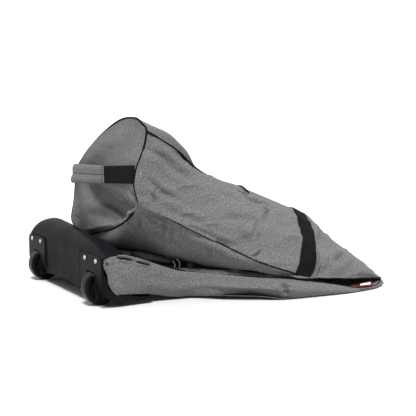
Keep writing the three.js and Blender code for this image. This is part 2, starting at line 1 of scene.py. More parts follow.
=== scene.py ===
"""Looks of the folded wheeled travel bag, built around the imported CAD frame.

Lengths below are millimetres in the frame's own axes until a mesh is made, which turns them into metres.
X runs from the wheel end (-X) to the fold (+X), -Y is the near side, Z is up from the floor.
"""
import math

import bpy
import numpy as np
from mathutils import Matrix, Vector


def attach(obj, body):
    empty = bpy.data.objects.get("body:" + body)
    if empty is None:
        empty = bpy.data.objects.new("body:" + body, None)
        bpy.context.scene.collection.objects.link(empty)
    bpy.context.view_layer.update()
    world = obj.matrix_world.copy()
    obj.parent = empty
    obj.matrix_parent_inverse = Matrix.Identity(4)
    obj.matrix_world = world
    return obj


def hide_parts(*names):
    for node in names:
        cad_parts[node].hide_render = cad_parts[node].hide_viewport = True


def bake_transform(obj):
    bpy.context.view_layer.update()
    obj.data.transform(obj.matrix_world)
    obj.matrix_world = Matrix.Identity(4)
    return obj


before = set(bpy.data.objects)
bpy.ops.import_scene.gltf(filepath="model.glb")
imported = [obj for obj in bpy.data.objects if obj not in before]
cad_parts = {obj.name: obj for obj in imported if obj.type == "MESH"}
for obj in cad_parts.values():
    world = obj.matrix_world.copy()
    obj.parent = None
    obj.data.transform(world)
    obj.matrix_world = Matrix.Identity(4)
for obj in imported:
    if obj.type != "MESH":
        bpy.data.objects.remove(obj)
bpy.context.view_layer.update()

MM = 0.001
X_AXIS, Y_AXIS, Z_AXIS = np.eye(3)

# ---- camera, light and floor ----
CAMERA_AT = (-1.0242, -1.7620, 0.4070)       # metres
CAMERA_YAW = 31.70          # degrees, turned from +Y towards +X
CAMERA_PITCH = 6.615        # degrees, looking down
LENS = 72.44                # millimetres, as is the sensor's width
SENSOR = 36.0
CAMERA_REACH = 50           # metres
BRIGHT_SIDE = (0.50, 0.72, 0.48)             # the paper is brightest in this direction
PAPER_EASE = (-0.35, 0.55, 0.16, 1.36)       # from the dim side to the bright side: cosines, then strengths
BACKDROP_EASE = (0.11, 0.20, 1.30, 0.0)      # the backdrop round the floor: sines of height, then strengths
SUN_STRENGTH = 4.3
SUN_DIRECTION = (0.26, 0.48, -0.84)
SUN_WIDTH = 14              # degrees, which softens its shadows
FLOOR_COLOUR = (0.63, 0.63, 0.63, 1)
FLOOR_SIZE = 30             # metres
FLOOR_DROP = 0.0004         # metres under the bag, so that the two surfaces don't flicker


def build_camera():
    data = bpy.data.cameras.new("main_camera")
    data.lens = LENS
    data.sensor_width = SENSOR
    data.clip_end = CAMERA_REACH
    camera = bpy.data.objects.new("main_camera", data)
    bpy.context.scene.collection.objects.link(camera)
    camera.location = CAMERA_AT
    camera.rotation_euler = (math.radians(90 - CAMERA_PITCH), 0, math.radians(-CAMERA_YAW))
    bpy.context.scene.camera = camera


def build_world():
    """White paper all round: brightest overhead and behind the bag, dimmer from the side it is seen from."""
    world = bpy.data.worlds.new("studio")
    bpy.context.scene.world = world
    world.use_nodes = True
    nodes, link = world.node_tree.nodes, world.node_tree.links.new

    def eased(source, values):
        node = nodes.new("ShaderNodeMapRange")
        for socket, value in zip(("From Min", "From Max", "To Min", "To Max"), values):
            node.inputs[socket].default_value = value
        link(source, node.inputs["Value"])
        return node

    coordinate = nodes.new("ShaderNodeTexCoord")
    towards = nodes.new("ShaderNodeVectorMath")
    towards.operation = "DOT_PRODUCT"
    towards.inputs[1].default_value = BRIGHT_SIDE
    link(coordinate.outputs["Generated"], towards.inputs[0])
    paper = eased(towards.outputs["Value"], PAPER_EASE)
    paper.interpolation_type = "SMOOTHSTEP"
    height = nodes.new("ShaderNodeSeparateXYZ")
    link(coordinate.outputs["Generated"], height.inputs[0])
    brighter = nodes.new("ShaderNodeMath")
    brighter.operation = "MAXIMUM"
    link(paper.outputs["Result"], brighter.inputs[0])
    link(eased(height.outputs["Z"], BACKDROP_EASE).outputs["Result"], brighter.inputs[1])
    link(brighter.outputs[0], nodes["Background"].inputs["Strength"])
    nodes["Background"].inputs["Color"].default_value = (1, 1, 1, 1)


def build_studio():
    build_world()
    key = bpy.data.objects.new("soft_key", bpy.data.lights.new("soft_key", "SUN"))
    key.data.energy = SUN_STRENGTH
    key.data.angle = math.radians(SUN_WIDTH)
    key.rotation_euler = Vector(SUN_DIRECTION).to_track_quat("-Z", "Y").to_euler()
    bpy.context.scene.collection.objects.link(key)
    bpy.ops.mesh.primitive_plane_add(size=FLOOR_SIZE, location=(0, 0, -FLOOR_DROP))
    floor = bpy.context.object
    floor.name = "floor"
    paper = Nodes("floor_paper").finish(Base_Color=FLOOR_COLOUR, Roughness=0.9, Specular_IOR_Level=0.1)
    floor.data.materials.append(paper)
    bpy.context.scene.view_settings.view_transform = "Standard"


# ---- materials ----
class Nodes:
    """One material, with helpers that add shader nodes and link them."""

    def __init__(self, name):
        self.material = bpy.data.materials.new(name)
        self.material.use_nodes = True
        self.tree = self.material.node_tree
        self.shader = self.tree.nodes["Principled BSDF"]
        self.relief = None
        coordinate = self.tree.nodes.new("ShaderNodeTexCoord")
        self.uv, self.place = coordinate.outputs["UV"], coordinate.outputs["Object"]

    def put(self, socket, value):
        """Another node's output is linked to the socket; a number or colour is set on it."""
        if isinstance(value, bpy.types.NodeSocket):
            self.tree.links.new(value, socket)
        else:
            socket.default_value = value

    def add(self, kind, output, **inputs):
        node = self.tree.nodes.new(kind)
        for name, value in inputs.items():
            self.put(node.inputs[name], value)
        return node.outputs[output]

    def uv_parts(self):
        node = self.tree.nodes.new("ShaderNodeSeparateXYZ")
        self.put(node.inputs[0], self.uv)
        return node.outputs["X"], node.outputs["Y"]

    def scaled(self, source, scale):
        return self.add("ShaderNodeMapping", "Vector", Vector=source, Scale=scale)

    def noise(self, source, scale, detail=2.0, roughness=0.5):
        return self.add("ShaderNodeTexNoise", "Fac", Vector=source, Scale=scale, Detail=detail,
                        Roughness=roughness)

    def math(self, operation, *values):
        node = self.tree.nodes.new("ShaderNodeMath")
        node.operation = operation
        for socket, value in zip(node.inputs, values):
            self.put(socket, value)
        return node.outputs[0]

    def times_plus(self, value, factor, more):
        return self.math("ADD", self.math("MULTIPLY", value, factor), more)

    def weighted(self, first, first_share, second, second_share):
        return self.times_plus(first, first_share, self.math("MULTIPLY", second, second_share))

    def wave(self, value, pitch):
        return self.math("SINE", self.math("MULTIPLY", value, 2 * math.pi / pitch))

    def colour(self, factor, *stops):
        """The base colour, from a ramp of (position, grey or colour)."""
        ramp = self.tree.nodes.new("ShaderNodeValToRGB")
        elements = ramp.color_ramp.elements
        while len(elements) < len(stops):
            elements.new(0.5)
        for element, (position, value) in zip(elements, stops):
            element.position = position
            element.color = (value, value, value, 1) if isinstance(value, float) else (*value, 1)
        self.put(ramp.inputs["Fac"], factor)
        self.put(self.shader.inputs["Base Color"], ramp.outputs["Color"])

    def bump(self, height, strength, distance):
        """Fine relief, on top of the relief that the material has already."""
        values = {"Height": height, "Strength": strength, "Distance": distance}
        if self.relief is not None:
            values["Normal"] = self.relief
        self.relief = self.add("ShaderNodeBump", "Normal", **values)
        self.put(self.shader.inputs["Normal"], self.relief)

    def finish(self, **values):
        for name, value in values.items():
            self.put(self.shader.inputs[name.replace("_", " ")], value)
        return self.material


THREAD = 0.55 * MM           # one warp or weft thread of the grey fabric
LABEL_THREAD = 0.4 * MM
WEBBING_RIB = 2.6 * MM
WEBBING_PICK = 1.3 * MM
PIPING_RIB = 1.1 * MM
MELANGE_TINT = (1.0, 0.99, 1.02)


def woven_height(nodes, thread):
    """Plain weave: warp and weft threads that pass over each other, as a height."""
    x, y = nodes.uv_parts()
    across, along = nodes.wave(x, 2 * thread), nodes.wave(y, 2 * thread)
    rounds = nodes.math("ADD", nodes.math("ABSOLUTE", across), nodes.math("ABSOLUTE", along))
    return nodes.weighted(nodes.math("MULTIPLY", across, along), 0.5, rounds, 0.35)


def melange_material(name, dark, light):
    """Heather-grey woven polyester: dark and light yarns mixed along both thread directions."""
    nodes = Nodes(name)
    warp = nodes.noise(nodes.scaled(nodes.uv, (900, 170, 1)), 1.0, 3.0, 0.75)
    weft = nodes.noise(nodes.scaled(nodes.uv, (160, 860, 1)), 1.0, 3.0, 0.75)
    broad = nodes.noise(nodes.uv, 330.0, 3.0, 0.75)
    yarns = nodes.weighted(warp, 0.5, weft, 0.5)
    shades = [tuple(value * part for part in MELANGE_TINT) for value in (dark, (dark + light) / 2, light)]
    nodes.colour(nodes.weighted(yarns, 0.7, broad, 0.3), *zip((0.40, 0.5, 0.60), shades))
    nodes.bump(woven_height(nodes, THREAD), 0.35, 0.25 * MM)
    nodes.bump(yarns, 0.5, 0.5 * MM)
    return nodes.finish(Roughness=0.9, Specular_IOR_Level=0.12, Sheen_Weight=0.05, Sheen_Roughness=0.5)


def piping_material():
    nodes = Nodes("piping_fabric")
    nodes.colour(nodes.noise(nodes.place, 420.0), (0.35, 0.003), (0.7, 0.007))
    nodes.bump(nodes.wave(nodes.math("ADD", *nodes.uv_parts()), PIPING_RIB), 0.4, 0.2 * MM)
    return nodes.finish(Roughness=0.7, Specular_IOR_Level=0.05)


def webbing_material():
    """Black polyester webbing: herringbone ribs along the band and dense cross picks."""
    nodes = Nodes("black_webbing")
    x, y = nodes.uv_parts()
    slanted = nodes.math("ADD", x, nodes.math("PINGPONG", y, WEBBING_RIB))
    height = nodes.weighted(nodes.wave(y, WEBBING_RIB), 0.5, nodes.wave(slanted, WEBBING_PICK), 0.5)
    tone = nodes.times_plus(height, 0.25, nodes.noise(nodes.place, 300.0, 3.0))
    nodes.colour(tone, (0.25, 0.003), (0.8, 0.010))
    nodes.bump(height, 0.6, 0.3 * MM)
    return nodes.finish(Roughness=0.75, Specular_IOR_Level=0.04)


def coated_material():
    """Black coated fabric over a soft core: fine pebble grain and a low sheen."""
    nodes = Nodes("coated_black")
    cloudy = nodes.noise(nodes.place, 14.0, 3.0)
    nodes.colour(cloudy, (0.3, (0.0055, 0.0052, 0.0070)), (0.75, (0.0095, 0.0088, 0.0112)))
    pebbles = nodes.add("ShaderNodeTexVoronoi", "Distance", Vector=nodes.place, Scale=900.0)
    nodes.bump(pebbles, 0.25, 0.15 * MM)
    nodes.bump(nodes.noise(nodes.place, 90.0), 0.2, 0.4 * MM)
    return nodes.finish(Roughness=nodes.times_plus(cloudy, 0.12, 0.36), Specular_IOR_Level=0.022)


def plastic_material(name, low, high, roughness, grain_scale, grain_depth, shine=0.10):
    """A plain surface between two shades, with uneven gloss and fine grain."""
    nodes = Nodes(name)
    nodes.colour(nodes.noise(nodes.place, 30.0, 4.0), (0.3, low), (0.75, high))
    nodes.bump(nodes.noise(nodes.place, grain_scale), 0.25, grain_depth)
    wear = nodes.noise(nodes.place, 160.0, 4.0, 0.7)
    return nodes.finish(Roughness=nodes.times_plus(wear, 0.14, roughness), Specular_IOR_Level=shine)


def steel_material():
    nodes = Nodes("bright_steel")
    brushed = nodes.noise(nodes.scaled(nodes.place, (300, 300, 2500)), 1.0)
    nodes.colour(brushed, (0.3, (0.42, 0.39, 0.35)), (0.7, (0.56, 0.53, 0.48)))
    nodes.bump(brushed, 0.1, 0.05 * MM)
    return nodes.finish(Roughness=nodes.times_plus(brushed, 0.15, 0.3), Metallic=1.0)


def label_material():
    nodes = Nodes("blank_label")
    nodes.colour(nodes.noise(nodes.place, 500.0), (0.3, 0.80), (0.7, 0.92))
    nodes.bump(woven_height(nodes, LABEL_THREAD), 0.2, 0.1 * MM)
    return nodes.finish(Roughness=0.5)


def red_trim_material():
    nodes = Nodes("label_border")
    nodes.colour(nodes.noise(nodes.place, 500.0), (0.3, (0.30, 0.01, 0.02)), (0.7, (0.42, 0.02, 0.03)))
    return nodes.finish(Roughness=0.6)


MATERIALS = {
    "fabric": melange_material("grey_melange", 0.025, 0.216),
    # The lining is a lighter copy of the grey melange, lightened so that the shaded gap between the halves
    # and the inside of the fold read brighter: painted light.
    "lining_painted_light": melange_material("lining_melange_painted_light", 0.034, 0.27),
    "piping": piping_material(),
    "webbing": webbing_material(),
    "coated": coated_material(),
    "plastic": plastic_material("housing_plastic", 0.005, 0.009, 0.34, 700.0, 0.10 * MM, 0.035),
    "tyre": plastic_material("wheel_rubber", 0.003, 0.006, 0.20, 300.0, 0.02 * MM, 0.07),
    "board": plastic_material("board_plastic", 0.03, 0.04, 0.5, 500.0, 0.1 * MM),
    "steel": steel_material(),
    "label": label_material(),
    "label_border": red_trim_material(),
    "binding": melange_material("binding_tape", 0.13, 0.27),
    "tag": plastic_material("loop_tag", (0.060, 0.040, 0.026), (0.095, 0.066, 0.044), 0.7, 500.0, 0.1 * MM),
    "flap": plastic_material("flap_fabric", 0.012, 0.020, 0.75, 900.0, 0.15 * MM, 0.08),
    "enamel": plastic_material("slider_enamel", 0.004, 0.007, 0.5, 500.0, 0.02 * MM, 0.02),
}


# ---- smooth lines and surfaces through the rails ----
def slopes(x, y):
    """Slopes of a smooth curve through the points that never overshoots them."""
    step = np.diff(x)
    rise = np.diff(y) / step
    inner = np.zeros(len(x))
    same = rise[:-1] * rise[1:] > 0
    w1 = 2 * step[1:] + step[:-1]
    w2 = step[1:] + 2 * step[:-1]
    with np.errstate(divide="ignore", invalid="ignore"):
        mean = (w1 + w2) / (w1 / rise[:-1] + w2 / rise[1:])
    inner[1:-1][same] = mean[same]
    inner[0], inner[-1] = rise[0], rise[-1]
    return inner


def cubic(t, a, slope_a, b, slope_b):
    """The smooth step from a to b with these slopes at its ends, at shares t of the way."""
    return ((2 * t**3 - 3 * t**2 + 1) * a + (t**3 - 2 * t**2 + t) * slope_a
            + (3 * t**2 - 2 * t**3) * b + (t**3 - t**2) * slope_b)


def smooth_at(x, y, at):
    m = slopes(x, y)
    i = np.clip(np.searchsorted(x, at) - 1, 0, len(x) - 2)
    h = x[i + 1] - x[i]
    return cubic(np.clip((at - x[i]) / h, 0, 1), y[i], h * m[i], y[i + 1], h * m[i + 1])


def rail_at_x(rail, xs):
    rail = np.array(rail, float)
    return np.stack([xs, smooth_at(rail[:, 0], rail[:, 1], xs), smooth_at(rail[:, 0], rail[:, 2], xs)], 1)


def rail_points(rail, fractions):
    """Points of a rail at shares of its length along X."""
    return rail_at_x(rail, rail[0][0] + (rail[-1][0] - rail[0][0]) * fractions)


def mirrored(rail):
    return [[x, -y, z] for x, y, z in rail]


def lengths(points, axis=0):
    """Distance from the first point to each one, along an axis of the array."""
    steps = np.linalg.norm(np.diff(points, axis=axis), axis=-1)
    return np.concatenate([np.zeros_like(np.take(steps, [0], axis)), np.cumsum(steps, axis)], axis)


def across(points, shares, fine=16):
    """Positions at shares of the length of a smooth curve through each row of points (rows, n, 3)."""
    before = np.concatenate([2 * points[:, :1] - points[:, 1:2], points[:, :-1]], 1)
    after = np.concatenate([points[:, 1:], 2 * points[:, -1:] - points[:, -2:-1]], 1)
    tangent = (after - before) / 2
    t = np.linspace(0, 1, fine, endpoint=False)[None, :, None]
    pieces = [cubic(t, points[:, k][:, None], tangent[:, k][:, None], points[:, k + 1][:, None],
                    tangent[:, k + 1][:, None]) for k in range(points.shape[1] - 1)]
    line = np.concatenate(pieces + [points[:, -1:]], 1)
    length = lengths(line, 1)
    out = np.empty((len(points), len(shares), 3))
    for r in range(len(points)):
        for axis in range(3):
            out[r, :, axis] = np.interp(shares * length[r, -1], length[r], line[r, :, axis])
    return out


def evenly(line, count):
    """Points at even distances along a line."""
    length = lengths(line)
    at = np.linspace(0, length[-1], count)
    return np.stack([np.interp(at, length, line[:, axis]) for axis in range(3)], 1)


def smooth_line(points, count):
    """Evenly spaced points on a smooth line through the given ones."""
    return across(np.array(points, float)[None], np.linspace(0, 1, count), 32)[0]


def grid_normals(grid):
    normal = np.cross(np.gradient(grid, axis=0), np.gradient(grid, axis=1))
    return normal / np.maximum(np.linalg.norm(normal, axis=2, keepdims=True), 1e-9)


def squarish(wave, power):
    """A sine or cosine made fuller, so that a round outline turns nearly square."""
    return np.sign(wave) * np.abs(wave) ** power


def spans(rows, columns):
    """Shares from 0 to 1 down the rows and along the columns of a grid of points."""
    return np.linspace(0, 1, rows)[:, None, None], np.linspace(0, 1, columns)[None, :, None]


def facing(grid, at, direction):
    """The grid, turned over if it faces away from a direction at a (row, column)."""
    return grid[:, ::-1] if grid_normals(grid)[at] @ direction < 0 else grid


# ---- meshes ----
# How thick each kind of cloth is.
CLOTH_T = 1.1
COATED_T = 2.0
STRAP_T = 1.5
HANDLE_T = 2.4
ZIP_TAPE_T = 1.4
PULLER_T = 1.3
TAG_T = 1.2
FOLD_CLOTH_T = 0.9
LABEL_T = 0.5
LABEL_FIELD_T = 0.3


def make_object(name, vertices, faces, material, uvs=None, smooth=True):
    mesh = bpy.data.meshes.new(name)
    mesh.from_pydata((np.asarray(vertices) * MM).tolist(), [], [tuple(map(int, face)) for face in faces])
    mesh.update()
    if uvs is not None:
        layer = mesh.uv_layers.new(name="weave")
        corners = np.empty(len(mesh.loops), int)
        mesh.loops.foreach_get("vertex_index", corners)
        layer.data.foreach_set("uv", np.asarray(uvs, float)[corners].ravel())
    mesh.polygons.foreach_set("use_smooth", [smooth] * len(mesh.polygons))
    mesh.materials.append(MATERIALS[material])
    obj = bpy.data.objects.new(name, mesh)
    bpy.context.scene.collection.objects.link(obj)
    return obj


def grid_faces(rows, columns, offset=0, flip=False):
    i, j = np.meshgrid(np.arange(rows - 1), np.arange(columns - 1), indexing="ij")
    a = (offset + i * columns + j).ravel()
    quads = np.stack([a, a + columns, a + columns + 1, a + 1], 1)
    return quads[:, ::-1] if flip else quads


def grid_rim(grid):
    """The entries round the border of a grid, once each."""
    return np.concatenate([grid[:, 0], grid[-1, 1:], grid[::-1, -1][1:], grid[0, ::-1][1:-1]])


def hole_walls(index, keep, count):
    """Walls round the dropped cells of a grid, between its two layers."""
    walls = []
    rows, columns = keep.shape
    for i, j in zip(*np.nonzero(~keep)):
        a, b, c, d = index[i, j], index[i + 1, j], index[i + 1, j + 1], index[i, j + 1]
        neighbours = (((i - 1, j), (d, a)), ((i, j + 1), (c, d)), ((i + 1, j), (b, c)), ((i, j - 1), (a, b)))
        for near, edge in neighbours:
            if 0 <= near[0] < rows and 0 <= near[1] < columns and keep[near]:
                walls.append((edge[0], edge[1], edge[1] + count, edge[0] + count))
    return np.array(walls, int).reshape(-1, 4)


def cloth_object(name, grid, material, thickness=CLOTH_T, keep=None):
    """A cloth layer of real thickness under the grid, closed round its edges.

    keep says which cells of the grid stay.
    """
    rows, columns, _ = grid.shape
    inner = grid - grid_normals(grid) * thickness
    count = rows * columns
    index = np.arange(count).reshape(rows, columns)
    rim = grid_rim(index)
    after = np.roll(rim, -1)
    sides = np.stack([after, rim, rim + count, after + count], 1)
    top, bottom = grid_faces(rows, columns), grid_faces(rows, columns, count, True)
    if keep is not None:
        top, bottom = top[keep.ravel()], bottom[keep.ravel()]
        sides = np.concatenate([sides, hole_walls(index, keep, count)])
    # The weave keeps its scale: its coordinates are distances along the cloth, in metres.
    u = np.broadcast_to(lengths(grid, 0).mean(1)[:, None], (rows, columns))
    uv = np.stack([u, lengths(grid, 1)], -1).reshape(-1, 2) * MM
    vertices = np.concatenate([grid, inner]).reshape(-1, 3)
    faces = np.concatenate([top, bottom, sides])
    return make_object(name, vertices, faces, material, np.concatenate([uv, uv]))


def rings_object(name, rings, material, uvs=None, closed=False, flip=False):
    """A solid through rings of vertices (rings, sides, 3), closed on itself or with a cap at each end."""
    count, sides = rings.shape[:2]
    index = np.arange(count * sides).reshape(count, sides)
    caps = [] if closed else [tuple(index[0][::-1]), tuple(index[-1])]
    if closed:
        index = np.concatenate([index, index[:1]])
    after = np.roll(index, -1, 1)
    quads = np.stack([index[:-1], after[:-1], after[1:], index[1:]], -1).reshape(-1, 4)
    if flip:
        quads = quads[:, [0, 3, 2, 1]]
        caps = [cap[::-1] for cap in caps]
    return make_object(name, rings.reshape(-1, 3), list(quads) + caps, material, uvs)


def tube_object(name, path, radius, material, sides=12, closed=False):
    """A round cord along the path."""
    if closed:
        tangent = np.roll(path, -1, 0) - np.roll(path, 1, 0)
    else:
        tangent = np.gradient(path, axis=0)
    tangent /= np.linalg.norm(tangent, axis=1, keepdims=True)
    reference = np.where(np.abs(tangent[:, 2:3]) < 0.9, [Z_AXIS], [Y_AXIS])
    if closed:
        reference = np.broadcast_to(X_AXIS, tangent.shape)
    side = np.cross(tangent, reference)
    side /= np.linalg.norm(side, axis=1, keepdims=True)
    up = np.cross(side, tangent)
    angle = np.linspace(0, 2 * math.pi, sides, endpoint=False)
    ring = side[:, None] * np.cos(angle)[None, :, None] + up[:, None] * np.sin(angle)[None, :, None]
    uv = np.stack([np.repeat(lengths(path), sides), np.tile(angle * radius, len(path))], 1) * MM
    return rings_object(name, path[:, None] + ring * radius, material, uv, closed)


def as_node(piece, body, node):
    """A piece that stands in for a CAD node."""
    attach(piece, body)
    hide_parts(node)


def as_extra(piece, body):
    """A piece that the CAD doesn't have."""
    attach(piece, body)


# ---- wrinkles ----
HASH_FACTORS = np.array([73856093, 19349663, 83492791])
HASH_SEED = 2654435761
HASH_MIX = 1274126177


def lattice_noise(points, scale, seed):
    """Smooth random values between -1 and 1 over space, the same for the same seed."""
    p = points / scale + 100.0
    cell = np.floor(p).astype(np.int64)
    f = p - cell
    f = f * f * f * (f * (f * 6 - 15) + 10)
    total = np.zeros(points.shape[:-1])
    for corner in np.ndindex(2, 2, 2):
        x, y, z = np.moveaxis((cell + corner) * HASH_FACTORS, -1, 0)
        h = x ^ y ^ z ^ (seed * HASH_SEED)
        h = (h ^ (h >> 13)) * HASH_MIX
        value = ((h ^ (h >> 16)) & 0xFFFF) / 32767.5 - 1
        total += value * np.prod(np.where(corner, f, 1 - f), axis=-1)
    return total


def ease(t):
    t = np.clip(t, 0, 1)
    return t ** 2 * (3 - 2 * t)


def edge_fade(grid, rows=0.06, columns=0.08):
    """1 inside the panel and 0 at its seams, rising over shares of its rows and columns."""
    r = np.linspace(0, 1, grid.shape[0])[:, None]
    c = np.linspace(0, 1, grid.shape[1])[None, :]
    return ease(r / rows) * ease((1 - r) / rows) * ease(c / columns) * ease((1 - c) / columns)


CREASE_SHOULDER = 0.45       # height of a fold's raised shoulders, as a share of its depth


def crease(points, line, width, depth):
    """Depth of a soft fold along a line: a valley with raised shoulders, fading at both ends."""
    cloud = points.reshape(-1, 3)
    line = np.array([cloud[np.argmin(((cloud - at) ** 2).sum(1))] for at in smooth_line(line, 9)])
    line = line[np.concatenate([[True], np.linalg.norm(np.diff(line, axis=0), axis=1) > 0.5])]
    start = lengths(line)
    best = np.full(points.shape[:-1], 1e9)
    along = np.zeros(points.shape[:-1])
    for k, length in enumerate(np.diff(start)):
        d = (line[k + 1] - line[k]) / length
        t = np.clip((points - line[k]) @ d, 0, length)
        distance = np.linalg.norm(points - (line[k] + t[..., None] * d), axis=-1)
        closer = distance < best
        best = np.where(closer, distance, best)
        along = np.where(closer, (start[k] + t) / start[-1], along)
    fade = np.sin(np.pi * np.clip(along, 0.001, 0.999)) ** 0.6
    valley = -depth * np.exp(-((best / width) ** 2))
    rise = CREASE_SHOULDER * depth * np.exp(-(((best - 2.0 * width) / (1.1 * width)) ** 2))
    return (valley + rise) * fade


def wrinkled(grid, amount, folds=(), fade=None, seed=1, stretch=(1, 1, 1)):
    """The panel moved along its normals by broad slumps, soft ridges and single folds."""
    fade = edge_fade(grid) if fade is None else fade
    p = grid * np.array(stretch)
    broad = lattice_noise(p, 150, seed) + lattice_noise(p, 70, seed + 1) * 0.5
    ridges = ((0.5 - np.abs(lattice_noise(p, 55, seed + 2))) * 1.2
              + (0.5 - np.abs(lattice_noise(p, 26, seed + 3))) * 0.75)
    fine = lattice_noise(p, 11, seed + 4) * 0.06
    height = amount * (broad + ridges + fine) * fade
    for line, width, depth in folds:
        height = height + FOLD_STRENGTH * crease(grid, line, width, depth)
    return grid + grid_normals(grid) * height[..., None]


# ---- single folds of the fabric: (line, width, depth) ----
FOLD_STRENGTH = 1.5          # times the depths below
NEAR_FOLDS = [
    ([(-195, -222, 320), (-180, -225, 303), (-160, -228, 286), (-120, -232, 262)], 8, 4.2),
    ([(-224, -226, 268), (-206, -232, 250), (-190, -236, 236), (-160, -242, 222)], 6, 3.8),
    ([(-204, -230, 248), (-209, -232, 236), (-209, -228, 214)], 3.4, 3.2),
    ([(-232, -221, 330), (-195, -226, 316), (-150, -230, 290)], 6, 2.2),
    ([(4, -226, 232), (13, -231, 224), (26, -232, 220)], 3.2, 4.5),
    ([(10, -243, 216), (30, -246, 207), (54, -246, 200), (80, -242, 196)], 6, 4.4),
    ([(84, -242, 196), (72, -250, 190), (50, -272, 176), (28, -290, 158)], 8, 4.6),
    ([(16, -284, 168), (2, -294, 154), (-8, -300, 134)], 4, 3.8),
    ([(-34, -284, 162), (-30, -294, 142), (-22, -298, 118)], 9, 3.6),
    ([(-14, -307, 94), (-2, -309, 101), (10, -308, 108)], 3.0, 3.4),
    ([(124, -338, 44), (142, -334, 74), (156, -322, 96)], 3.0, 5.5),
    ([(134, -340, 40), (152, -334, 70)], 2.4, 3.0),
    ([(182, -338, 64), (205, -328, 72), (232, -316, 78), (262, -300, 84)], 8, 6.4),
    ([(176, -334, 84), (170, -338, 68), (164, -341, 48)], 7, 3.4),
    ([(178, -300, 112), (205, -275, 122), (232, -240, 130)], 9, 6.5),
    ([(-98, -276, 116), (-84, -286, 100), (-70, -294, 92)], 6, 3.6),
    ([(-80, -262, 178), (-20, -276, 172), (20, -280, 166)], 10, 3.0),
    ([(-190, -233, 205), (-150, -247, 185), (-100, -262, 165)], 7, 2.6),
    ([(-160, -250, 176), (-90, -272, 140), (-40, -288, 118)], 5, 2.4),
    ([(-60, -240, 226), (-20, -246, 214), (10, -250, 206)], 9, 3.0),
]
UNDER_FOLDS = [
    ([(-238, -165, 174), (-226, -163, 160), (-214, -160, 150)], 5, 3.6),
    ([(-187, -233, 184), (-183, -222, 162), (-175, -202, 138)], 4, 3.4),
    ([(-173, -236, 170), (-166, -222, 148), (-156, -204, 126)], 5, 2.6),
    ([(-228, -206, 199), (-205, -214, 178), (-170, -226, 160)], 4, 4.0),
    ([(-232, -196, 190), (-222, -186, 172), (-216, -170, 156)], 3, 3.2),
    ([(-222, -214, 202), (-196, -224, 186), (-168, -236, 172)], 3, 3.6),
    ([(-100, -262, 112), (-92, -250, 96), (-86, -236, 84)], 5, 3.0),
    ([(-150, -236, 140), (-110, -252, 118), (-60, -276, 92)], 9, 2.4),
    ([(-205, -190, 150), (-170, -205, 128), (-130, -225, 108)], 8, 2.6),
]
END_FOLDS = [
    ([(-222, 75, 226), (-230, -16, 220), (-232, -102, 205), (-232, -150, 194), (-234, -190, 187)], 5, 6.0),
    ([(-236, 30, 203), (-240, -60, 195), (-239, -110, 178), (-238, -140, 168)], 7, 4.0),
    ([(-248, -184, 240), (-246, -196, 226), (-243, -206, 214)], 4, 4.4),
    ([(-240, -120, 196), (-240, -160, 190), (-241, -196, 200)], 4, 3.6),
    ([(-238, -150, 176), (-240, -176, 188), (-241, -200, 204)], 3.5, 3.4),
    ([(-246, -160, 226), (-245, -180, 214), (-243, -200, 200)], 5, 3.0),
    ([(-217, 131, 286), (-225, 3, 325), (-226, -108, 353), (-224, -176, 372)], 26, 3.2),
    ([(-224, 120, 240), (-236, 20, 244), (-246, -90, 243), (-248, -170, 244)], 9, 4.5),
]
LOWER_FOLDS = [
    ([(-290, -216, 107), (-272, -217, 103), (-250, -217, 96)], 2.4, 6.0),
    ([(-249, -217, 95), (-230, -216, 89), (-208, -215, 82)], 2.2, 5.2),
    ([(44, -331, 36), (52, -336, 26), (60, -336, 14)], 5, 6.5),
    ([(-306, -216, 90), (-314, -215, 95), (-319, -214, 100)], 3, 4.0),
    ([(-300, -218, 80), (-285, -221, 60), (-272, -221, 42)], 9, 1.2),
    ([(-150, -222, 48), (-60, -262, 40), (20, -306, 36)], 9, 2.6),
    ([(-120, -216, 22), (-60, -262, 24), (0, -294, 22)], 8, 2.4),
    ([(-240, -220, 66), (-180, -220, 50), (-120, -222, 30)], 10, 1.6),
]
SHELF_FOLDS = [
    ([(-95, -205, 61), (-60, -225, 60), (-25, -248, 58)], 5, 2.6),
    ([(-45, -245, 58), (-30, -252, 57), (-12, -262, 55)], 4, 3.0),
    ([(20, -270, 54), (55, -290, 48), (90, -305, 41)], 5, 2.6),
    ([(130, -312, 30), (170, -318, 22), (210, -322, 14)], 5, 2.2),
]


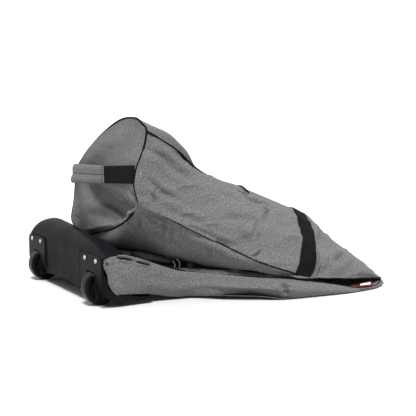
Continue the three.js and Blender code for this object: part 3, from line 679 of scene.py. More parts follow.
# ---- rails, and the seam of the end panel ----
# A rail is a line along a panel, as points [x, y, z] from the end of its half to the fold.
FOLD_X = 341.0
PIPING_R = 2.0
UPPER = {
    "near_low": [[-240, -215, 218], [-198, -232, 194], [-141, -252, 161], [-37, -292, 106], [1, -315, 85],
                 [72, -335, 58], [105, -337, 46], [200, -343, 33], [266, -341, 26], [309, -337, 21],
                 [FOLD_X, -326, 17]],
    "near_side": [[-244, -219, 290], [-141, -243, 236], [-37, -268, 184], [65, -295, 140], [150, -315, 102],
                  [220, -325, 72], [290, -328, 46], [FOLD_X, -314, 21]],
    "near_shoulder": [[-228, -217, 340], [-199, -220, 334], [-160, -224, 314], [-130, -225, 298],
                      [-100, -222, 284], [-56, -221, 261], [11, -221, 236], [70, -221, 213], [168, -221, 175],
                      [209, -220, 157], [266, -217, 110], [300, -216, 86], [FOLD_X, -212, 60]],
    "near_seam": [[-219, -216, 366], [-199, -218, 355], [-180, -221, 343], [-160, -222, 332],
                  [-139, -221, 317], [-122, -216, 303], [-100, -204, 289], [-61, -198, 267], [7, -196, 241],
                  [65, -196, 219], [163, -196, 180], [203, -196, 161], [268, -192, 109], [FOLD_X, -186, 65]],
    "near_crest": [[-222, -200, 391], [-201, -200, 376], [-168, -204, 359], [-131, -206, 331],
                   [-110, -200, 307], [-91, -190, 286], [-56, -184, 265], [7, -182, 241], [65, -182, 219],
                   [163, -182, 181], [203, -182, 162], [268, -178, 110], [FOLD_X, -165, 68]],
    "top_near": [[-222, -80, 380], [-120, -80, 309], [-61, -80, 270], [7, -80, 244], [65, -80, 221],
                 [163, -85, 184], [203, -85, 162], [268, -80, 110], [FOLD_X, -60, 70]],
    "top_far": [[-214, 110, 314], [-61, 115, 235], [65, 115, 200], [163, 115, 165], [210, 110, 140],
                [270, 105, 92], [FOLD_X, 100, 54]],
    "far_top": [[-207, 200, 236], [-60, 215, 178], [100, 240, 132], [200, 250, 100], [270, 240, 70],
                [FOLD_X, 232, 45]],
    "far_side": [[-207, 212, 184], [-60, 238, 139], [100, 290, 98], [200, 314, 72], [290, 327, 46],
                 [FOLD_X, 323, 35]],
    "far_low": [[-208, 215, 136], [-60, 240, 100], [100, 300, 62], [200, 330, 38], [290, 335, 25],
                [FOLD_X, 326, 20]],
    "under_far": [[-214, 85, 108], [-60, 90, 88], [100, 100, 52], [200, 110, 33], [FOLD_X, 110, 20]],
    "under_belly": [[-238, -168, 172], [-192, -206, 156], [-151, -230, 139], [-110, -250, 119],
                    [-75, -266, 102], [-30, -289, 84], [-2, -302, 74], [62, -322, 55], [105, -327, 43],
                    [200, -316, 32], [300, -290, 24], [FOLD_X, -270, 15]],
    "under_near": [[-234, -60, 107], [-192, -112, 96], [-151, -150, 85], [-110, -142, 72], [-75, -155, 62],
                   [-30, -192, 56], [-2, -226, 57], [62, -288, 51], [105, -312, 46], [200, -285, 39],
                   [300, -240, 29], [FOLD_X, -200, 20]],
}
# Seam of the end panel, corner to corner.
OUTLINE = {
    "near": [(-240, -215, 213), (-246, -215, 240), (-248, -215, 262), (-240, -215, 295), (-227, -216, 327),
             (-219, -216, 366)],
    "top": [(-219, -216, 366), (-224, -206, 381), (-223, -172, 392), (-222, -97, 387), (-222, -2, 354),
            (-220, 80, 316), (-216, 137, 285), (-211, 184, 255)],
    "far": [(-211, 184, 255), (-211, 184, 228), (-210, 197, 182), (-211, 212, 136)],
    "under": [(-240, -215, 213), (-240, -178, 184), (-238, -138, 166), (-234, -76, 146), (-230, -10, 131),
              (-226, 54, 119), (-218, 120, 114), (-213, 177, 117), (-211, 212, 136)],
}
LOWER = {
    "top": [[-318, -213, 105], [-305, -213, 110.5], [-290, -213, 111.5], [-244, -212, 104],
            [-207, -210, 89], [-126, -214, 61], [-34, -270, 52], [87, -335, 41.5], [109, -338, 37],
            [160, -345, 27], [202, -348, 18], [240, -350, 9], [262, -350, 6], [300, -348, 6],
            [322, -340, 10], [FOLD_X, -326, 13]],
    "floor": [[-318, -214.5, 30], [-270, -214.5, 27], [-240, -213, 24], [-207, -208, 19], [-126, -206, 4],
              [-60, -266, 9], [0, -306, 8], [50, -334, 3], [143, -350, 2.5], [225, -360, 2.5], [290, -356, 3],
              [FOLD_X, -336, 4]],
    "base": [[-246, -150, 21], [-200, -150, 18], [-150, -150, 0.2], [300, -200, 0.2], [FOLD_X, -200, 3]],
    "shelf": [[-130, -180, 64], [-60, -222, 61], [-34, -238, 58], [20, -268, 54], [60, -288, 47],
              [100, -302, 37], [160, -312, 22], [225, -318, 9], [290, -312, 7], [FOLD_X, -300, 12]],
    "inner": [[-130, -140, 60], [-34, -180, 43], [87, -220, 30], [225, -230, 12], [FOLD_X, -215, 13]],
    "middle": [[-130, 0, 62], [-34, 0, 38], [87, 0, 24], [225, 0, 12], [FOLD_X, 0, 13]],
}


# Each panel of the handle half: its rails, columns and rows, and how its first row is pulled onto its side of
# the end seam, as a reach and a power.
UPPER_PANELS = {
    "near": (["near_low", "near_side", "near_shoulder", "near_seam"], 150, 380, 90, 2.0),
    "top": (["near_seam", "near_crest", "top_near", "top_far", "far_top"], 170, 300, 70, 2.0),
    "far": (["far_top", "far_side", "far_low"], 80, 260, 60, 2.0),
    "under": (["near_low", "under_belly", "under_near", "under_far", "far_low"], 150, 340, 14, 1.0),
}
# The stretch of the zip.
ZIP_START, ZIP_STOP = np.array([7.0, -203, 246.6]), np.array([160.0, -203, 185.6])
ZIP_ALONG = (ZIP_STOP - ZIP_START) / np.linalg.norm(ZIP_STOP - ZIP_START)
ZIP_UP = np.array([-ZIP_ALONG[2], 0, ZIP_ALONG[0]])
SLIDER_AT = 18               # along the zip
SLIDER_ROOM = 2.8            # how far below the zip the near gusset stays
WHEEL_X, WHEEL_Y, WHEEL_Z = -305, 160.0, 38  # middle of the wheel on the +Y side
HOUSING_HALF_WIDTH, HOUSING_TOP, HOUSING_BACK = 50, 84, -250
GUSSET_Y, GUSSET_TOP_Y = -214.5, -213        # the near gusset's front edge, and its top corner there
GUSSET_PULL = 46             # how far back the edge shapes the gusset
ARCH_DEPTH = 26              # how far its lower edge draws in where the half lifts off the floor


def outline_side(name, count):
    """One side of the end seam, smooth across its corners as the whole seam is."""
    order = ["near", "top", "far", "under"]
    loop = OUTLINE["near"][:-1] + OUTLINE["top"][:-1] + OUTLINE["far"][:-1] + OUTLINE["under"][::-1][:-1]
    first = sum(len(OUTLINE[side]) - 1 for side in order[:order.index(name)])
    wrapped = np.array([loop[i % len(loop)] for i in range(-2, len(loop) + 3)], float)
    line = across(wrapped[None, first:first + len(OUTLINE[name]) + 4], np.linspace(0, 1, 2000), 32)[0]
    start, end = [int(np.argmin(np.linalg.norm(line - np.array(corner, float), axis=1)))
                  for corner in (OUTLINE[name][0], OUTLINE[name][-1])]
    return evenly(line[start:end + 1] if start < end else line[end:start + 1][::-1], count)


def pulled_to(grid, seam, reach, power=2.0):
    """The grid with its first row moved onto a seam, easing out over a distance."""
    weight = np.clip(1 - lengths(grid).mean(1) / reach, 0, 1) ** power
    return grid + (seam - grid[0])[None] * weight[:, None, None]


def upper_surface(side):
    names, columns, rows, reach, power = UPPER_PANELS[side]
    rails = np.stack([rail_points(UPPER[name], np.linspace(0, 1, rows)) for name in names], 1)
    return pulled_to(across(rails, np.linspace(0, 1, columns)), outline_side(side, columns), reach, power)


def lower_grid(rails, columns, start, rows):
    xs = np.linspace(start, FOLD_X, rows)
    return across(np.stack([rail_at_x(rail, xs) for rail in rails], 1), np.linspace(0, 1, columns))


def skin(part, kind, grid, material="fabric"):
    """A fabric panel in place of its CAD node: part is such as upper_back, kind is panel or gusset."""
    piece = cloth_object(part + "_skin", grid, material)
    as_node(piece, part.split("_")[0] + "_half", part + "_" + kind)


# ---- handle half ----
BACK_PUFF, BACK_PUFF_REACH = 5.5, 46         # the back panel swells behind the end seam
UNDER_LIP, UNDER_LIP_REACH = np.array([-8.0, -3.0, 0.5]), 30         # the front panel hangs out under it
END_HOLLOW = 32.0            # how far the end panel sinks in under the handle
HOLLOW_Y, HOLLOW_Z, HOLLOW_SLOPE = 75, 228, 0.148        # the line along which it is deepest
END_FOOT = 9.0               # how far its foot leans out
END_BULGE = 2.0              # how far its middle swells out


def swell(grid, reach):
    """A hump over the first rows of a grid."""
    return np.sin(math.pi * np.clip(lengths(grid).mean(1) / reach, 0, 1))[:, None]


def under_slider(grid):
    """The near gusset kept low beside the zip, where the slider and its puller pass."""
    def past(value, edge):
        return np.maximum(0, value - edge)

    x, y = grid[..., 0], grid[..., 1]
    slope = (ZIP_STOP[2] - ZIP_START[2]) / (ZIP_STOP[0] - ZIP_START[0])
    track = ZIP_START[2] + (x - ZIP_START[0]) * slope - SLIDER_ROOM
    track = track - 0.6 * past(-y, 209) + 2 * past(-y, 235) + 0.6 * past(-x, 6) + 0.6 * past(x, 158)
    grid[..., 2] = np.minimum(grid[..., 2], track)
    return grid


def build_upper_panels():
    back = upper_surface("top")
    puff = swell(back, BACK_PUFF_REACH) ** 0.7
    puff = puff * np.interp(back[0, :, 1], [-200, -170, -60, 40], [0.2, 1, 1, 0])[None]
    back = wrinkled(back + Z_AXIS * BACK_PUFF * puff[..., None], 3.2, seed=11, stretch=(0.6, 0.6, 1))
    skin("upper_back", "panel", back)
    near = upper_surface("near")
    beside_zip = np.interp(near[..., 0], [-40, 0, 170, 210], [0, 1, 1, 0])
    calm = 1 - 0.85 * beside_zip * np.clip(1 - (near[:, -1:, 2] - near[..., 2]) / 30, 0, 1)
    near = under_slider(wrinkled(near, 6.5, NEAR_FOLDS, calm, seed=51, stretch=(0.55, 1, 1)))
    skin("upper_near", "gusset", near)
    build_strap(near, back)
    build_zip()
    skin("upper_far", "gusset", wrinkled(upper_surface("far"), 3.0, seed=61, stretch=(0.55, 1, 1)))
    under = upper_surface("under")[:, ::-1]
    lip = swell(under, UNDER_LIP_REACH) * np.sin(math.pi * np.linspace(0, 1, under.shape[1]))
    under = under + UNDER_LIP * lip[..., None]
    under = wrinkled(under, 3.0, UNDER_FOLDS, edge_fade(under, 0.03, 0.05), seed=31, stretch=(0.6, 1, 1))
    skin("upper_front", "panel", under)


def end_surface(columns=130, rows=120):
    """A patch stretched between the four sides of the end seam."""
    near, far = outline_side("near", rows), outline_side("far", rows)[::-1]
    under, top = outline_side("under", columns), outline_side("top", columns)
    v, u = spans(rows, columns)
    ruled = (1 - v) * under[None] + v * top[None] + (1 - u) * near[:, None] + u * far[:, None]
    low, high = (1 - u) * under[0] + u * under[-1], (1 - u) * top[0] + u * top[-1]
    return ruled - (1 - v) * low - v * high


def build_end_panel():
    grid = end_surface()[:, ::-1]
    fade = edge_fade(grid, 0.10, 0.10)
    y, z = grid[..., 1], grid[..., 2]
    drop = z - (HOLLOW_Z - HOLLOW_SLOPE * (HOLLOW_Y - y))
    hollow = ease(np.where(drop > 0, 1 - drop / 40, 1 + drop / 66))
    hollow = hollow * np.interp(y, [-205, -150, 60, 130], [0.35, 1, 1, 0.2]) * np.minimum(1, 1.6 * fade)
    foot = np.clip((205 - z) / 60, 0, 1) * np.interp(y, [-190, -120, 40, 120], [0, 1, 1, 0])
    foot = foot * np.minimum(1, 2.4 * fade)
    grid = wrinkled(grid + X_AXIS * (END_HOLLOW * hollow - END_FOOT * foot)[..., None], 1.8, END_FOLDS, fade,
                    seed=71)
    rows, columns = fade.shape
    bulge = np.sin(np.linspace(0, np.pi, rows))[:, None] * np.sin(np.linspace(0, np.pi, columns))
    skin("upper_end", "panel", grid - X_AXIS * (END_BULGE * bulge)[..., None])
    loop = np.concatenate([outline_side("near", 60)[:-1], outline_side("top", 120)[:-1],
                           outline_side("far", 50)[:-1], outline_side("under", 110)[::-1][:-1]])
    # The cord sinks into the crumpled cloth at the near lower corner.
    buried = np.exp(-((loop[:, 1] + 205) / 15) ** 2 - ((loop[:, 2] - 204) / 13) ** 2)
    loop = loop + np.array([6.5, 2.0, 1.0]) * buried[:, None]
    ring = tube_object("end_piping_cord", loop, PIPING_R * 1.1, "piping", closed=True)
    as_node(ring, "upper_half", "end_panel_piping")


# ---- the fold ----
FOLD_COLUMNS = 260


def half_rim(panels):
    """The end of a half at the fold, as one line across the bag."""
    rows = [grid[-1] for grid in panels]
    return np.concatenate([row[:-1] for row in rows[:-1]] + [rows[-1]])


def build_fold():
    """The fabric round the fold: an outer bight from the back panels and an inner one from the front ones."""
    side = lower_near_surface()
    outer_top = half_rim([upper_surface("near"), upper_surface("top"), upper_surface("far")])
    outer_low = half_rim([side[:, ::-1], lower_base_surface(), mirror_grid(side)])
    inner_top, inner_low = upper_surface("under")[-1], lower_top_surface()[-1]
    turn = np.linspace(0, math.pi, 24)[:, None, None]
    for name, top, low, reach, material, slot_name in (
            ("fold_outer_bight", outer_top, outer_low, -1.5, "fabric", "grey_fabric"),
            ("fold_inner_bight", inner_top, inner_low, -4.0, "lining_painted_light", "lining_fabric")):
        top, low = evenly(top, FOLD_COLUMNS), evenly(low, FOLD_COLUMNS)
        bight = (top + low) / 2 + (top - low) / 2 * np.cos(turn) + X_AXIS * reach * np.sin(turn)
        slack = lattice_noise(bight, 40, 5)[..., None] * 1.2 * np.sin(turn)
        piece = cloth_object(name, bight + X_AXIS * slack, material, FOLD_CLOTH_T)
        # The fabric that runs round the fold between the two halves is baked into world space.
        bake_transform(piece)


def build_piping():
    fractions = np.linspace(0.0, 1, 200)
    for rail, node in (("near_low", "upper_near_lower_piping"), ("near_seam", "upper_near_top_piping"),
                       ("far_top", "upper_far_top_piping"), ("far_low", "upper_far_lower_piping")):
        cord = tube_object(node + "_cord", rail_points(UPPER[rail], fractions), PIPING_R * 0.85, "piping")
        as_node(cord, "upper_half", node)
    for side, word in ((1, "near"), (-1, "far")):
        for rail, tuck in (("top", (0, 0, 0)), ("floor", (0, 3.0, 0.4))):
            line = (rail_points(LOWER[rail], fractions) + tuck) * np.array([1, side, 1])
            node = "lower_%s_%s_piping" % (word, rail)
            cord = tube_object(node + "_cord", line, PIPING_R * 0.8, "piping")
            as_node(cord, "lower_half", node)


# ---- wheel half ----
# Front edge of the gussets, [x, z], where they are turned in behind the wheel housing.
GUSSET_FRONT = [(-290, 28), (-297, 33), (-303, 41), (-309, 52), (-312, 72), (-319, 88), (-318, 105)]


def lower_near_surface():
    columns = 60
    grid = lower_grid([LOWER["floor"], LOWER["top"]], columns, -318, 340)
    share = np.linspace(0, 1, columns)[None, :]
    height = (grid[:, -1, 2] - grid[:, 0, 2])[:, None]
    roundness = np.interp(grid[:, 0, 0], [-318, -230, -60, 341], [0.05, 0.10, 0.34, 0.34])[:, None]
    grid[..., 1] -= roundness * height * np.sin(np.pi * share) ** 0.8
    arch = np.exp(-(((grid[:, 0, 0] + 5) / 55) ** 2))[:, None]
    grid[..., 1] += ARCH_DEPTH * arch * np.clip(1 - share * 2.2, 0, 1) ** 0.7
    front = np.array([(x, GUSSET_Y, z) for x, z in GUSSET_FRONT], float)
    front[-1, 1] = GUSSET_TOP_Y
    return pulled_to(grid, evenly(smooth_line(front, 80), columns), GUSSET_PULL)


def mirror_grid(grid):
    return (grid * np.array([1, -1, 1]))[:, ::-1]


def lower_base_surface():
    """The floor of the wheel half, pressed flat by its own weight."""
    rails = [mirrored(LOWER["floor"]), mirrored(LOWER["base"]), LOWER["base"], LOWER["floor"]]
    grid = lower_grid(rails, 150, LOWER["base"][0][0], 200)
    grid[..., 2] = np.maximum(grid[..., 2], 0.2)
    return grid[:, ::-1]


def lower_top_surface():
    near = [LOWER["top"], LOWER["shelf"], LOWER["inner"], LOWER["middle"]]
    far = [mirrored(LOWER[name]) for name in ("inner", "shelf", "top")]
    return lower_grid(near + far, 220, LOWER["inner"][0][0], 260)


def build_lower_panels():
    side, top = lower_near_surface(), lower_top_surface()
    skin("lower_near", "gusset", wrinkled(side, 1.6, LOWER_FOLDS, edge_fade(side, 0.03, 0.2), seed=81))
    skin("lower_far", "gusset", wrinkled(mirror_grid(side), 2.2, seed=91))
    skin("lower_back", "panel", lower_base_surface()[:, ::-1])
    top = wrinkled(top, 2.8, SHELF_FOLDS, edge_fade(top, 0.05, 0.03), seed=41)
    skin("lower_front", "panel", top, "lining_painted_light")


END_FRONT = -320.6
# Height of the panel's crown across the bag, [y, z].
CROWN = [(-213, 107), (-204, 110.5), (-196, 112), (-150, 120), (-100, 127), (-50, 132), (0, 136), (60, 143),
         (110, 148), (145, 149.5), (172, 148), (190, 145), (200, 140.5), (207, 131), (211, 118), (213, 100)]
ROUNDING_FOOT = 104.0
# Behind the crown: X, and how far the panel falls there.
END_TAIL = ((-250, 10), (-222, 24), (-190, 35), (-137, 46), (-118, 52))


def end_profile(y, crown):
    rise = crown - ROUNDING_FOOT
    depth = 8 + 0.9 * max(rise, 0)
    drop = 1 + (crown - 112) / 42
    rounding = [(END_FRONT + depth * (1 - math.cos(t)), ROUNDING_FOOT + rise * math.sin(t))
                for t in np.radians([0, 22.5, 45, 67.5, 90])]
    tail = [(-266, crown - 5)] + [(x, crown - fall * drop) for x, fall in END_TAIL]
    bottom = 20 + 11 * max(0, 1 - (y / 135) ** 2)
    return [(END_FRONT, bottom), (END_FRONT, 58)] + rounding + tail


def build_wheel_end_panel():
    crown = np.array(CROWN, float)
    ys = np.linspace(crown[0, 0], crown[-1, 0], 200)
    heights = smooth_at(crown[:, 0], crown[:, 1], ys)
    rails = [[(x, y, z) for x, z in end_profile(y, height)] for y, height in zip(ys, heights)]
    grid = across(np.array(rails, float), np.linspace(0, 1, 150)).transpose(1, 0, 2)
    soft = lattice_noise(grid * np.array([0.5, 0.5, 0.9]), 75, 7) * 2.4 + lattice_noise(grid, 34, 9) * 0.5
    beside_plates = np.clip((np.abs(np.abs(grid[..., 1]) - WHEEL_Y) - 48) / 20, 0, 1)
    above = np.clip((grid[..., 2] - 106) / 12, 0, 1)
    grid = grid + grid_normals(grid) * (soft * np.maximum(beside_plates, above))[..., None]
    # The panel is cut away behind both wheel housings.
    x, y, z = np.moveaxis((grid[:-1, :-1] + grid[1:, 1:]) / 2, -1, 0)
    keep = (np.abs(np.abs(y) - WHEEL_Y) >= HOUSING_HALF_WIDTH) | (z >= HOUSING_TOP) | (x >= HOUSING_BACK)
    piece = cloth_object("wheel_end_skin", grid, "coated", COATED_T, keep)
    as_node(piece, "lower_half", "wheel_end_panel")


# ---- sewn-on parts of the handle half ----
WEBBING_W = 38.0
# Middle of the compression strap: [share of the way up the near gusset, X].
STRAP_LINE = [(0, 98), (0.29, 131), (0.5, 152), (0.86, 180), (1, 189)]
STRAP_BOW = 4                # how far the strap bows towards the fold on the back
HANDLE_LINE = [(-248.5, -219, 277), (-251, -205, 276), (-253, -140, 272), (-255, -76, 268), (-261, 5, 265),
               (-263, 50, 263), (-258, 76, 261), (-240, 108, 258), (-226, 150, 254), (-213, 194, 249)]
# Y where the sleeve round the handle starts and stops, and where its bare webbing turns into the sewn ends.
WRAP_FROM, WRAP_TO = -86.0, 75.0
NEAR_BEND_Y, FAR_BEND_Y = -108, 102
WRAP_HEM, WRAP_FAR_HEM = 6.0, 154.0          # its two seams across, from its near end
# The sleeve's half width and half thickness at its near end, and what is added by its far end.
SLEEVE_WIDTH, SLEEVE_DEPTH = (19.6, 3.0), (5.2, 2.0)
GROOVE_DEPTH, STITCH_DEPTH = 3.0, 0.7


def on_surface(grid, normals, column, x):
    """Where a column of a surface reaches an X, as (point, normal)."""
    at = np.interp(x, grid[:, column, 0], np.arange(len(grid)))
    low = int(min(at, len(grid) - 2))
    point, normal = [rows[low, column] * (1 - at + low) + rows[low + 1, column] * (at - low)
                     for rows in (grid, normals)]
    return point, normal / np.linalg.norm(normal)


def build_strap(near, back):
    """The strap follows the wrinkled skins it is sewn to, over the ridge between them."""
    line = np.array(STRAP_LINE, float)
    rows = []
    for grid, over_back in ((near, False), (back, True)):
        normals = grid_normals(grid)
        for column in np.unique(np.linspace(4 * over_back, grid.shape[1] - 5, 90).astype(int)):
            share = column / (grid.shape[1] - 1)
            if over_back:
                middle = line[-1, 1] + STRAP_BOW * math.sin(math.pi * share)
            else:
                middle = smooth_at(line[:, 0], line[:, 1], np.array([share]))[0]
            lift = 1.9 + 1.6 * math.exp(-((share if over_back else 1 - share) / 0.03) ** 2)
            spots = [on_surface(grid, normals, column, middle + offset * WEBBING_W)
                     for offset in np.linspace(-0.5, 0.5, 13)]
            rows.append([point + normal * lift for point, normal in spots])
    band = np.array(rows)
    for _ in range(6):
        band[1:-1] = (band[:-2] + 2 * band[1:-1] + band[2:]) / 4
    strap = cloth_object("strap_band", facing(band, (40, 6), -Y_AXIS), "webbing", STRAP_T)
    as_node(strap, "upper_half", "compression_strap")


def handle_frames(count):
    """Middle, width and outward directions along the handle."""
    line = evenly(smooth_line(HANDLE_LINE, 200), count)
    along = np.gradient(line, axis=0)
    along /= np.linalg.norm(along, axis=1, keepdims=True)
    tilt = np.interp(line[:, 1], [-80, 70, 120, 198], [0, 0.20, 0.12, 0])
    up = np.stack([tilt, -0.2 * tilt, np.ones(count)], 1)
    up -= along * (up * along).sum(1, keepdims=True)
    up /= np.linalg.norm(up, axis=1, keepdims=True)
    out = np.cross(up, along)
    out *= np.where(out[:, :1] > 0, -1, 1)
    return line, up, out


def build_handle():
    line, up, out = handle_frames(160)
    offsets = np.linspace(-0.5, 0.5, 11)[None, :, None] * WEBBING_W
    band = facing(line[:, None] + up[:, None] * offsets + out[:, None] * 1.2, (80, 5), -X_AXIS)
    first, last = [int(np.argmin(np.abs(line[:, 1] - y))) for y in (NEAR_BEND_Y, FAR_BEND_Y)]
    middle = cloth_object("handle_band", band[first:last + 1], "webbing", HANDLE_T)
    as_node(middle, "grab_handle", "handle_webbing")
    # Each end of the band, between where it is sewn down and where it runs free, is baked into world space.
    for name, part, sewn, free in (
            ("handle_near_end", band[:first + 1], (-250.0, -210, 276), (-253.0, -118, 271)),
            ("handle_far_end", band[last:], (-215.0, 186, 250), (-238.0, 112, 258))):
        piece = cloth_object(name, part, "webbing", HANDLE_T)
        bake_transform(piece)
    build_sleeve(line, up, out)


def build_sleeve(line, up, out):
    """The padded sleeve round the handle, with a groove and stitches where it is sewn shut, and a dark cord
    along the groove as painted shade.
    """
    fine = evenly(line[(line[:, 1] >= WRAP_FROM) & (line[:, 1] <= WRAP_TO)], 90)
    up, out = [np.stack([np.interp(fine[:, 1], line[:, 1], way[:, k]) for k in range(3)], 1)
               for way in (up, out)]
    turn = np.linspace(0, 2 * math.pi, 72, endpoint=False)
    wide, thick = squarish(np.cos(turn), 0.35), squarish(np.sin(turn), 0.75)
    share = np.linspace(0, 1, len(fine))[:, None]
    end = np.minimum(share, 1 - share) * (WRAP_TO - WRAP_FROM)
    puff = 0.55 + 0.45 * np.clip(end / 5, 0, 1) ** 0.5
    front = np.clip(thick, 0, 1) ** 0.5
    groove = GROOVE_DEPTH * np.exp(-((wide / 0.075) ** 2)) * front
    stitch = STITCH_DEPTH * np.exp(-(((end - WRAP_HEM) / 1.1) ** 2)) * front
    pillow = 0.7 * lattice_noise(fine[:, None] + turn[None, :, None] * 9.0, 26, 33) * front
    depth = thick * (SLEEVE_DEPTH[0] + SLEEVE_DEPTH[1] * share) * puff - groove - stitch + pillow
    spread = wide * (SLEEVE_WIDTH[0] + SLEEVE_WIDTH[1] * share)
    rings = fine[:, None] + up[:, None] * spread[..., None] + out[:, None] * depth[..., None]
    distance = lengths(fine)
    uv = np.stack(np.broadcast_arrays(distance[:, None], lengths(rings[40])), -1).reshape(-1, 2) * MM
    sleeve = rings_object("handle_sleeve", rings, "fabric", uv, flip=True)
    as_node(sleeve, "grab_handle", "handle_wrap")
    middle = int(np.argmin(np.abs(wide) + (thick < 0) * 9.0))
    # A thin black cord along the groove: painted shade, standing in for the groove's shadow.
    seam = tube_object("wrap_groove_shade", rings[3:-3, middle] + out[3:-3] * 0.1, 0.55, "webbing")
    as_extra(seam, "grab_handle")
    for place in (WRAP_HEM, WRAP_FAR_HEM):
        k = int(np.argmin(np.abs(distance - place)))
        piece = tube_object("wrap_stitch_%d" % k, (rings[k] + out[k] * 0.15)[thick > 0.25], 0.45, "webbing")
        as_extra(piece, "grab_handle")


def build_zip():
    """Zip tape beside the top seam of the near gusset, and its teeth."""
    seam = rail_at_x(UPPER["near_seam"], np.linspace(ZIP_START[0], ZIP_STOP[0], 120)) + [0, 6.0, 1.4]
    tape = seam[:, None] + Y_AXIS * np.linspace(-4.5, 4.5, 7)[None, :, None]
    piece = cloth_object("zip_band", facing(tape, (50, 3), Z_AXIS), "webbing", ZIP_TAPE_T)
    as_node(piece, "upper_half", "zip_tape")
    vertices, faces = [], []
    corners = [(x, y, z) for x in (-0.5, 0.5) for y in (-1.5, 1.5) for z in (-0.8, 0.8)]
    tooth = np.array(corners) @ np.array([ZIP_ALONG, Y_AXIS, ZIP_UP])
    quads = [(0, 1, 3, 2), (4, 6, 7, 5), (0, 4, 5, 1), (2, 3, 7, 6), (0, 2, 6, 4), (1, 5, 7, 3)]
    for k in range(100):
        faces.extend([len(vertices) + v for v in quad] for quad in quads)
        vertices.extend(tooth + seam[min(int(k * 1.19) + 1, 119)] + [0, 0.8 if k % 2 else -0.8, 0.4])
    teeth = make_object("zip_teeth", vertices, faces, "webbing", smooth=False)
    as_extra(teeth, "upper_half")


SLIDER_HALF_LENGTH = 6.5
SLIDER_HALF_WIDTH, SLIDER_TAPER = 4.6, 0.16
PULLER_HALF_WIDTH = 4.2
PULLER_FALL = np.array([5.0, -21.0, -14.0])  # from its top to its tip
# The slider's outline at each height, as a share of its full size.
SLIDER_RINGS = ((-1.8, 0.80), (-1.5, 0.9), (-0.8, 1.0), (-0.1, 0.93), (0.2, 0.75), (0.3, 0.4))


def build_slider():
    """A low rounded slider on the tape, and a flat puller that hangs over the near side."""
    middle = ZIP_START + ZIP_ALONG * SLIDER_AT
    turn = np.linspace(0, 2 * math.pi, 40, endpoint=False)
    rings = []
    for height, size in SLIDER_RINGS:
        x = SLIDER_HALF_LENGTH * squarish(np.cos(turn), 0.7) * size
        y = (SLIDER_HALF_WIDTH - SLIDER_TAPER * x) * squarish(np.sin(turn), 0.7) * size
        rings.append(middle + ZIP_UP * height + ZIP_ALONG * x[:, None] + Y_AXIS * y[:, None])
    as_node(rings_object("slider_body", np.array(rings), "enamel"), "zip_slider", "zip_slider")
    pivot = middle + ZIP_UP * 5.5 - Y_AXIS * 6.8
    bail = [middle - Y_AXIS * 2.6 + ZIP_UP * 0.2, middle - Y_AXIS * 4.2 + ZIP_UP * 0.7,
            pivot - ZIP_UP * 4.9 + Y_AXIS * 0.8, pivot - ZIP_UP * 5.4 + Y_AXIS * 0.2]
    as_extra(tube_object("slider_bail", smooth_line(bail, 20), 0.7, "enamel"), "zip_slider")
    down = np.linspace(0, 1, 26)[:, None, None]
    wide = np.linspace(-1, 1, 9)[None, :, None]
    taper = PULLER_HALF_WIDTH * np.sqrt(np.clip(1.04 - (2 * down - 0.9) ** 2 / 1.25, 0.03, 1))
    tab = (pivot - ZIP_UP * 5.4 - Y_AXIS + PULLER_FALL * down
           + Z_AXIS * 0.8 * np.sin(math.pi * down) + ZIP_ALONG * (wide * taper))
    tab = cloth_object("puller_tab", facing(tab, (12, 4), Z_AXIS), "enamel", PULLER_T)
    as_node(tab, "zip_puller", "zip_puller")


# ---- what shows in the gap between the halves ----
ROLL_FROM, ROLL_TO, ROLL_Y = -214, -142, -158.0
ROLL_HALF_WIDTH, ROLL_HALF_HEIGHT = 34, 10.5
# The bindings' arcs: X and height of the middle, reach along X and half height.
BINDINGS = ((-148, 73, 6, 10.0), (-139, 73, 9, 13.5))


def build_gap():
    """The rolled end of the black flap, its two light bindings and a loop tag."""
    turn = np.linspace(0, 2 * math.pi, 40, endpoint=False)
    rings = []
    for x, share in zip(np.linspace(ROLL_FROM, ROLL_TO, 46), np.linspace(0, 1, 46)):
        shrink = math.sqrt(max(1 - max((share - 0.84) / 0.165, 0) ** 2, 0.001))
        ring = np.stack([0 * turn, ROLL_HALF_WIDTH * np.cos(turn), ROLL_HALF_HEIGHT * np.sin(turn)], 1)
        rings.append(ring * shrink + [x, ROLL_Y, 88 - (x + 190) * 0.22])
    rings = np.array(rings)
    rings = rings + Z_AXIS * (lattice_noise(rings, 22, 17) * 1.2)[..., None]
    as_extra(rings_object("flap_roll", rings, "flap"), "lower_half")
    bow = np.radians(np.linspace(-75, 80, 30))
    for k, (x, z, reach, height) in enumerate(BINDINGS):
        arc = np.stack([x + reach * np.cos(bow), -194 - 2 * np.cos(bow), z + height * np.sin(bow)], 1)
        as_extra(tube_object("flap_binding_%d" % k, arc, 0.9, "binding"), "lower_half")
    side, rise = spans(8, 12)
    tag = (np.array([-104.0, -186, 57]) + np.array([13.0, -3, -1]) * side + np.array([1.0, 3, 14]) * rise
           + Y_AXIS * 2 * np.sin(math.pi * rise))
    as_extra(cloth_object("loop_tag", tag, "tag", TAG_T), "lower_half")


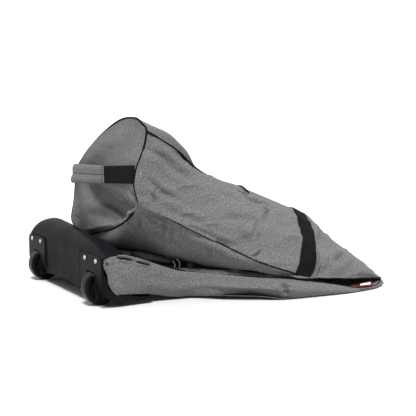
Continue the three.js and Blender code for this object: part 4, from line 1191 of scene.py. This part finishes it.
def build_label():
    """A blank label that stands up inside the gap, edged in red."""
    along, rise = spans(40, 14)
    front = np.array([238.0, -337, 8.2]) + np.array([62.0, -7, -1.0]) * along
    rear = np.array([243.0, -333, 9.4]) + np.array([64.0, 3, 4.2]) * along
    sheet = front * (1 - rise) + rear * rise + Z_AXIS * 0.8 * np.sin(math.pi * rise)
    sheet = facing(sheet, (20, 7), Z_AXIS)
    as_node(cloth_object("blank_label", sheet, "flap", LABEL_T), "lower_half", "care_label")
    field = cloth_object("label_field", sheet[17:37, 2:11] + Z_AXIS * 0.5, "label", LABEL_FIELD_T)
    as_extra(field, "lower_half")
    edge = grid_rim(sheet) + [0, -0.5, 0.2]
    as_extra(tube_object("label_border", edge, 1.0, "label_border", 8, True), "lower_half")


def build_hems():
    """The turned-in hem down the front edge of each lower gusset, beside the wheel housing."""
    for side, word in ((1, "near"), (-1, "far")):
        line = np.array([(x + 2.0, -215.5 * side, z) for x, z in GUSSET_FRONT], float)
        hem = tube_object("gusset_hem_" + word, evenly(smooth_line(line, 60), 60), 1.8, "fabric")
        as_extra(hem, "lower_half")


# ---- wheels ----
# Half of the tyre's section, [radius, y], from its inner edge to the middle of its tread.
TYRE_PROFILE = [(27, 14.2), (30, 14.8), (33, 15), (35.4, 14.2), (37, 12), (37.8, 8.5), (38, 0)]


def build_tyres():
    turn = np.linspace(0, 2 * math.pi, 128, endpoint=False)
    section = [(radius, -y, 0) for radius, y in TYRE_PROFILE]
    section += [(radius, y, 0) for radius, y in TYRE_PROFILE[-2::-1]]
    radius, y, _ = smooth_line(section, 60).T[..., None]
    for side, word in ((-1, "near"), (1, "far")):
        rings = np.stack([WHEEL_X + radius * np.cos(turn), WHEEL_Y * side + y + 0 * turn,
                          WHEEL_Z + radius * np.sin(turn)], -1)
        tyre = rings_object(word + "_tread", rings, "tyre", closed=True, flip=True)
        as_node(tyre, word + "_wheel", word + "_wheel_tyre")


def finish_cad_nodes():
    """The hard parts keep their CAD meshes, with softened edges and their own materials."""
    words = {"housing": "plastic", "_hub": "plastic", "rivet": "steel", "axle": "steel", "bush": "steel",
             "backing": "steel", "base_board": "board"}
    for name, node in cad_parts.items():
        for word, material in words.items():
            if word not in name:
                continue
            node.data.materials.clear()
            node.data.materials.append(MATERIALS[material])
            node.data.polygons.foreach_set("use_smooth", [True] * len(node.data.polygons))
            edge = node.modifiers.new("edge", "BEVEL")
            edge.width = 0.8 * MM
            edge.segments = 2
            edge.limit_method = "ANGLE"
            edge.angle_limit = math.radians(35)


build_camera()
build_studio()
build_upper_panels()
build_end_panel()
build_lower_panels()
build_fold()
build_piping()
build_wheel_end_panel()
build_handle()
build_slider()
build_gap()
build_label()
build_hems()
build_tyres()
finish_cad_nodes()
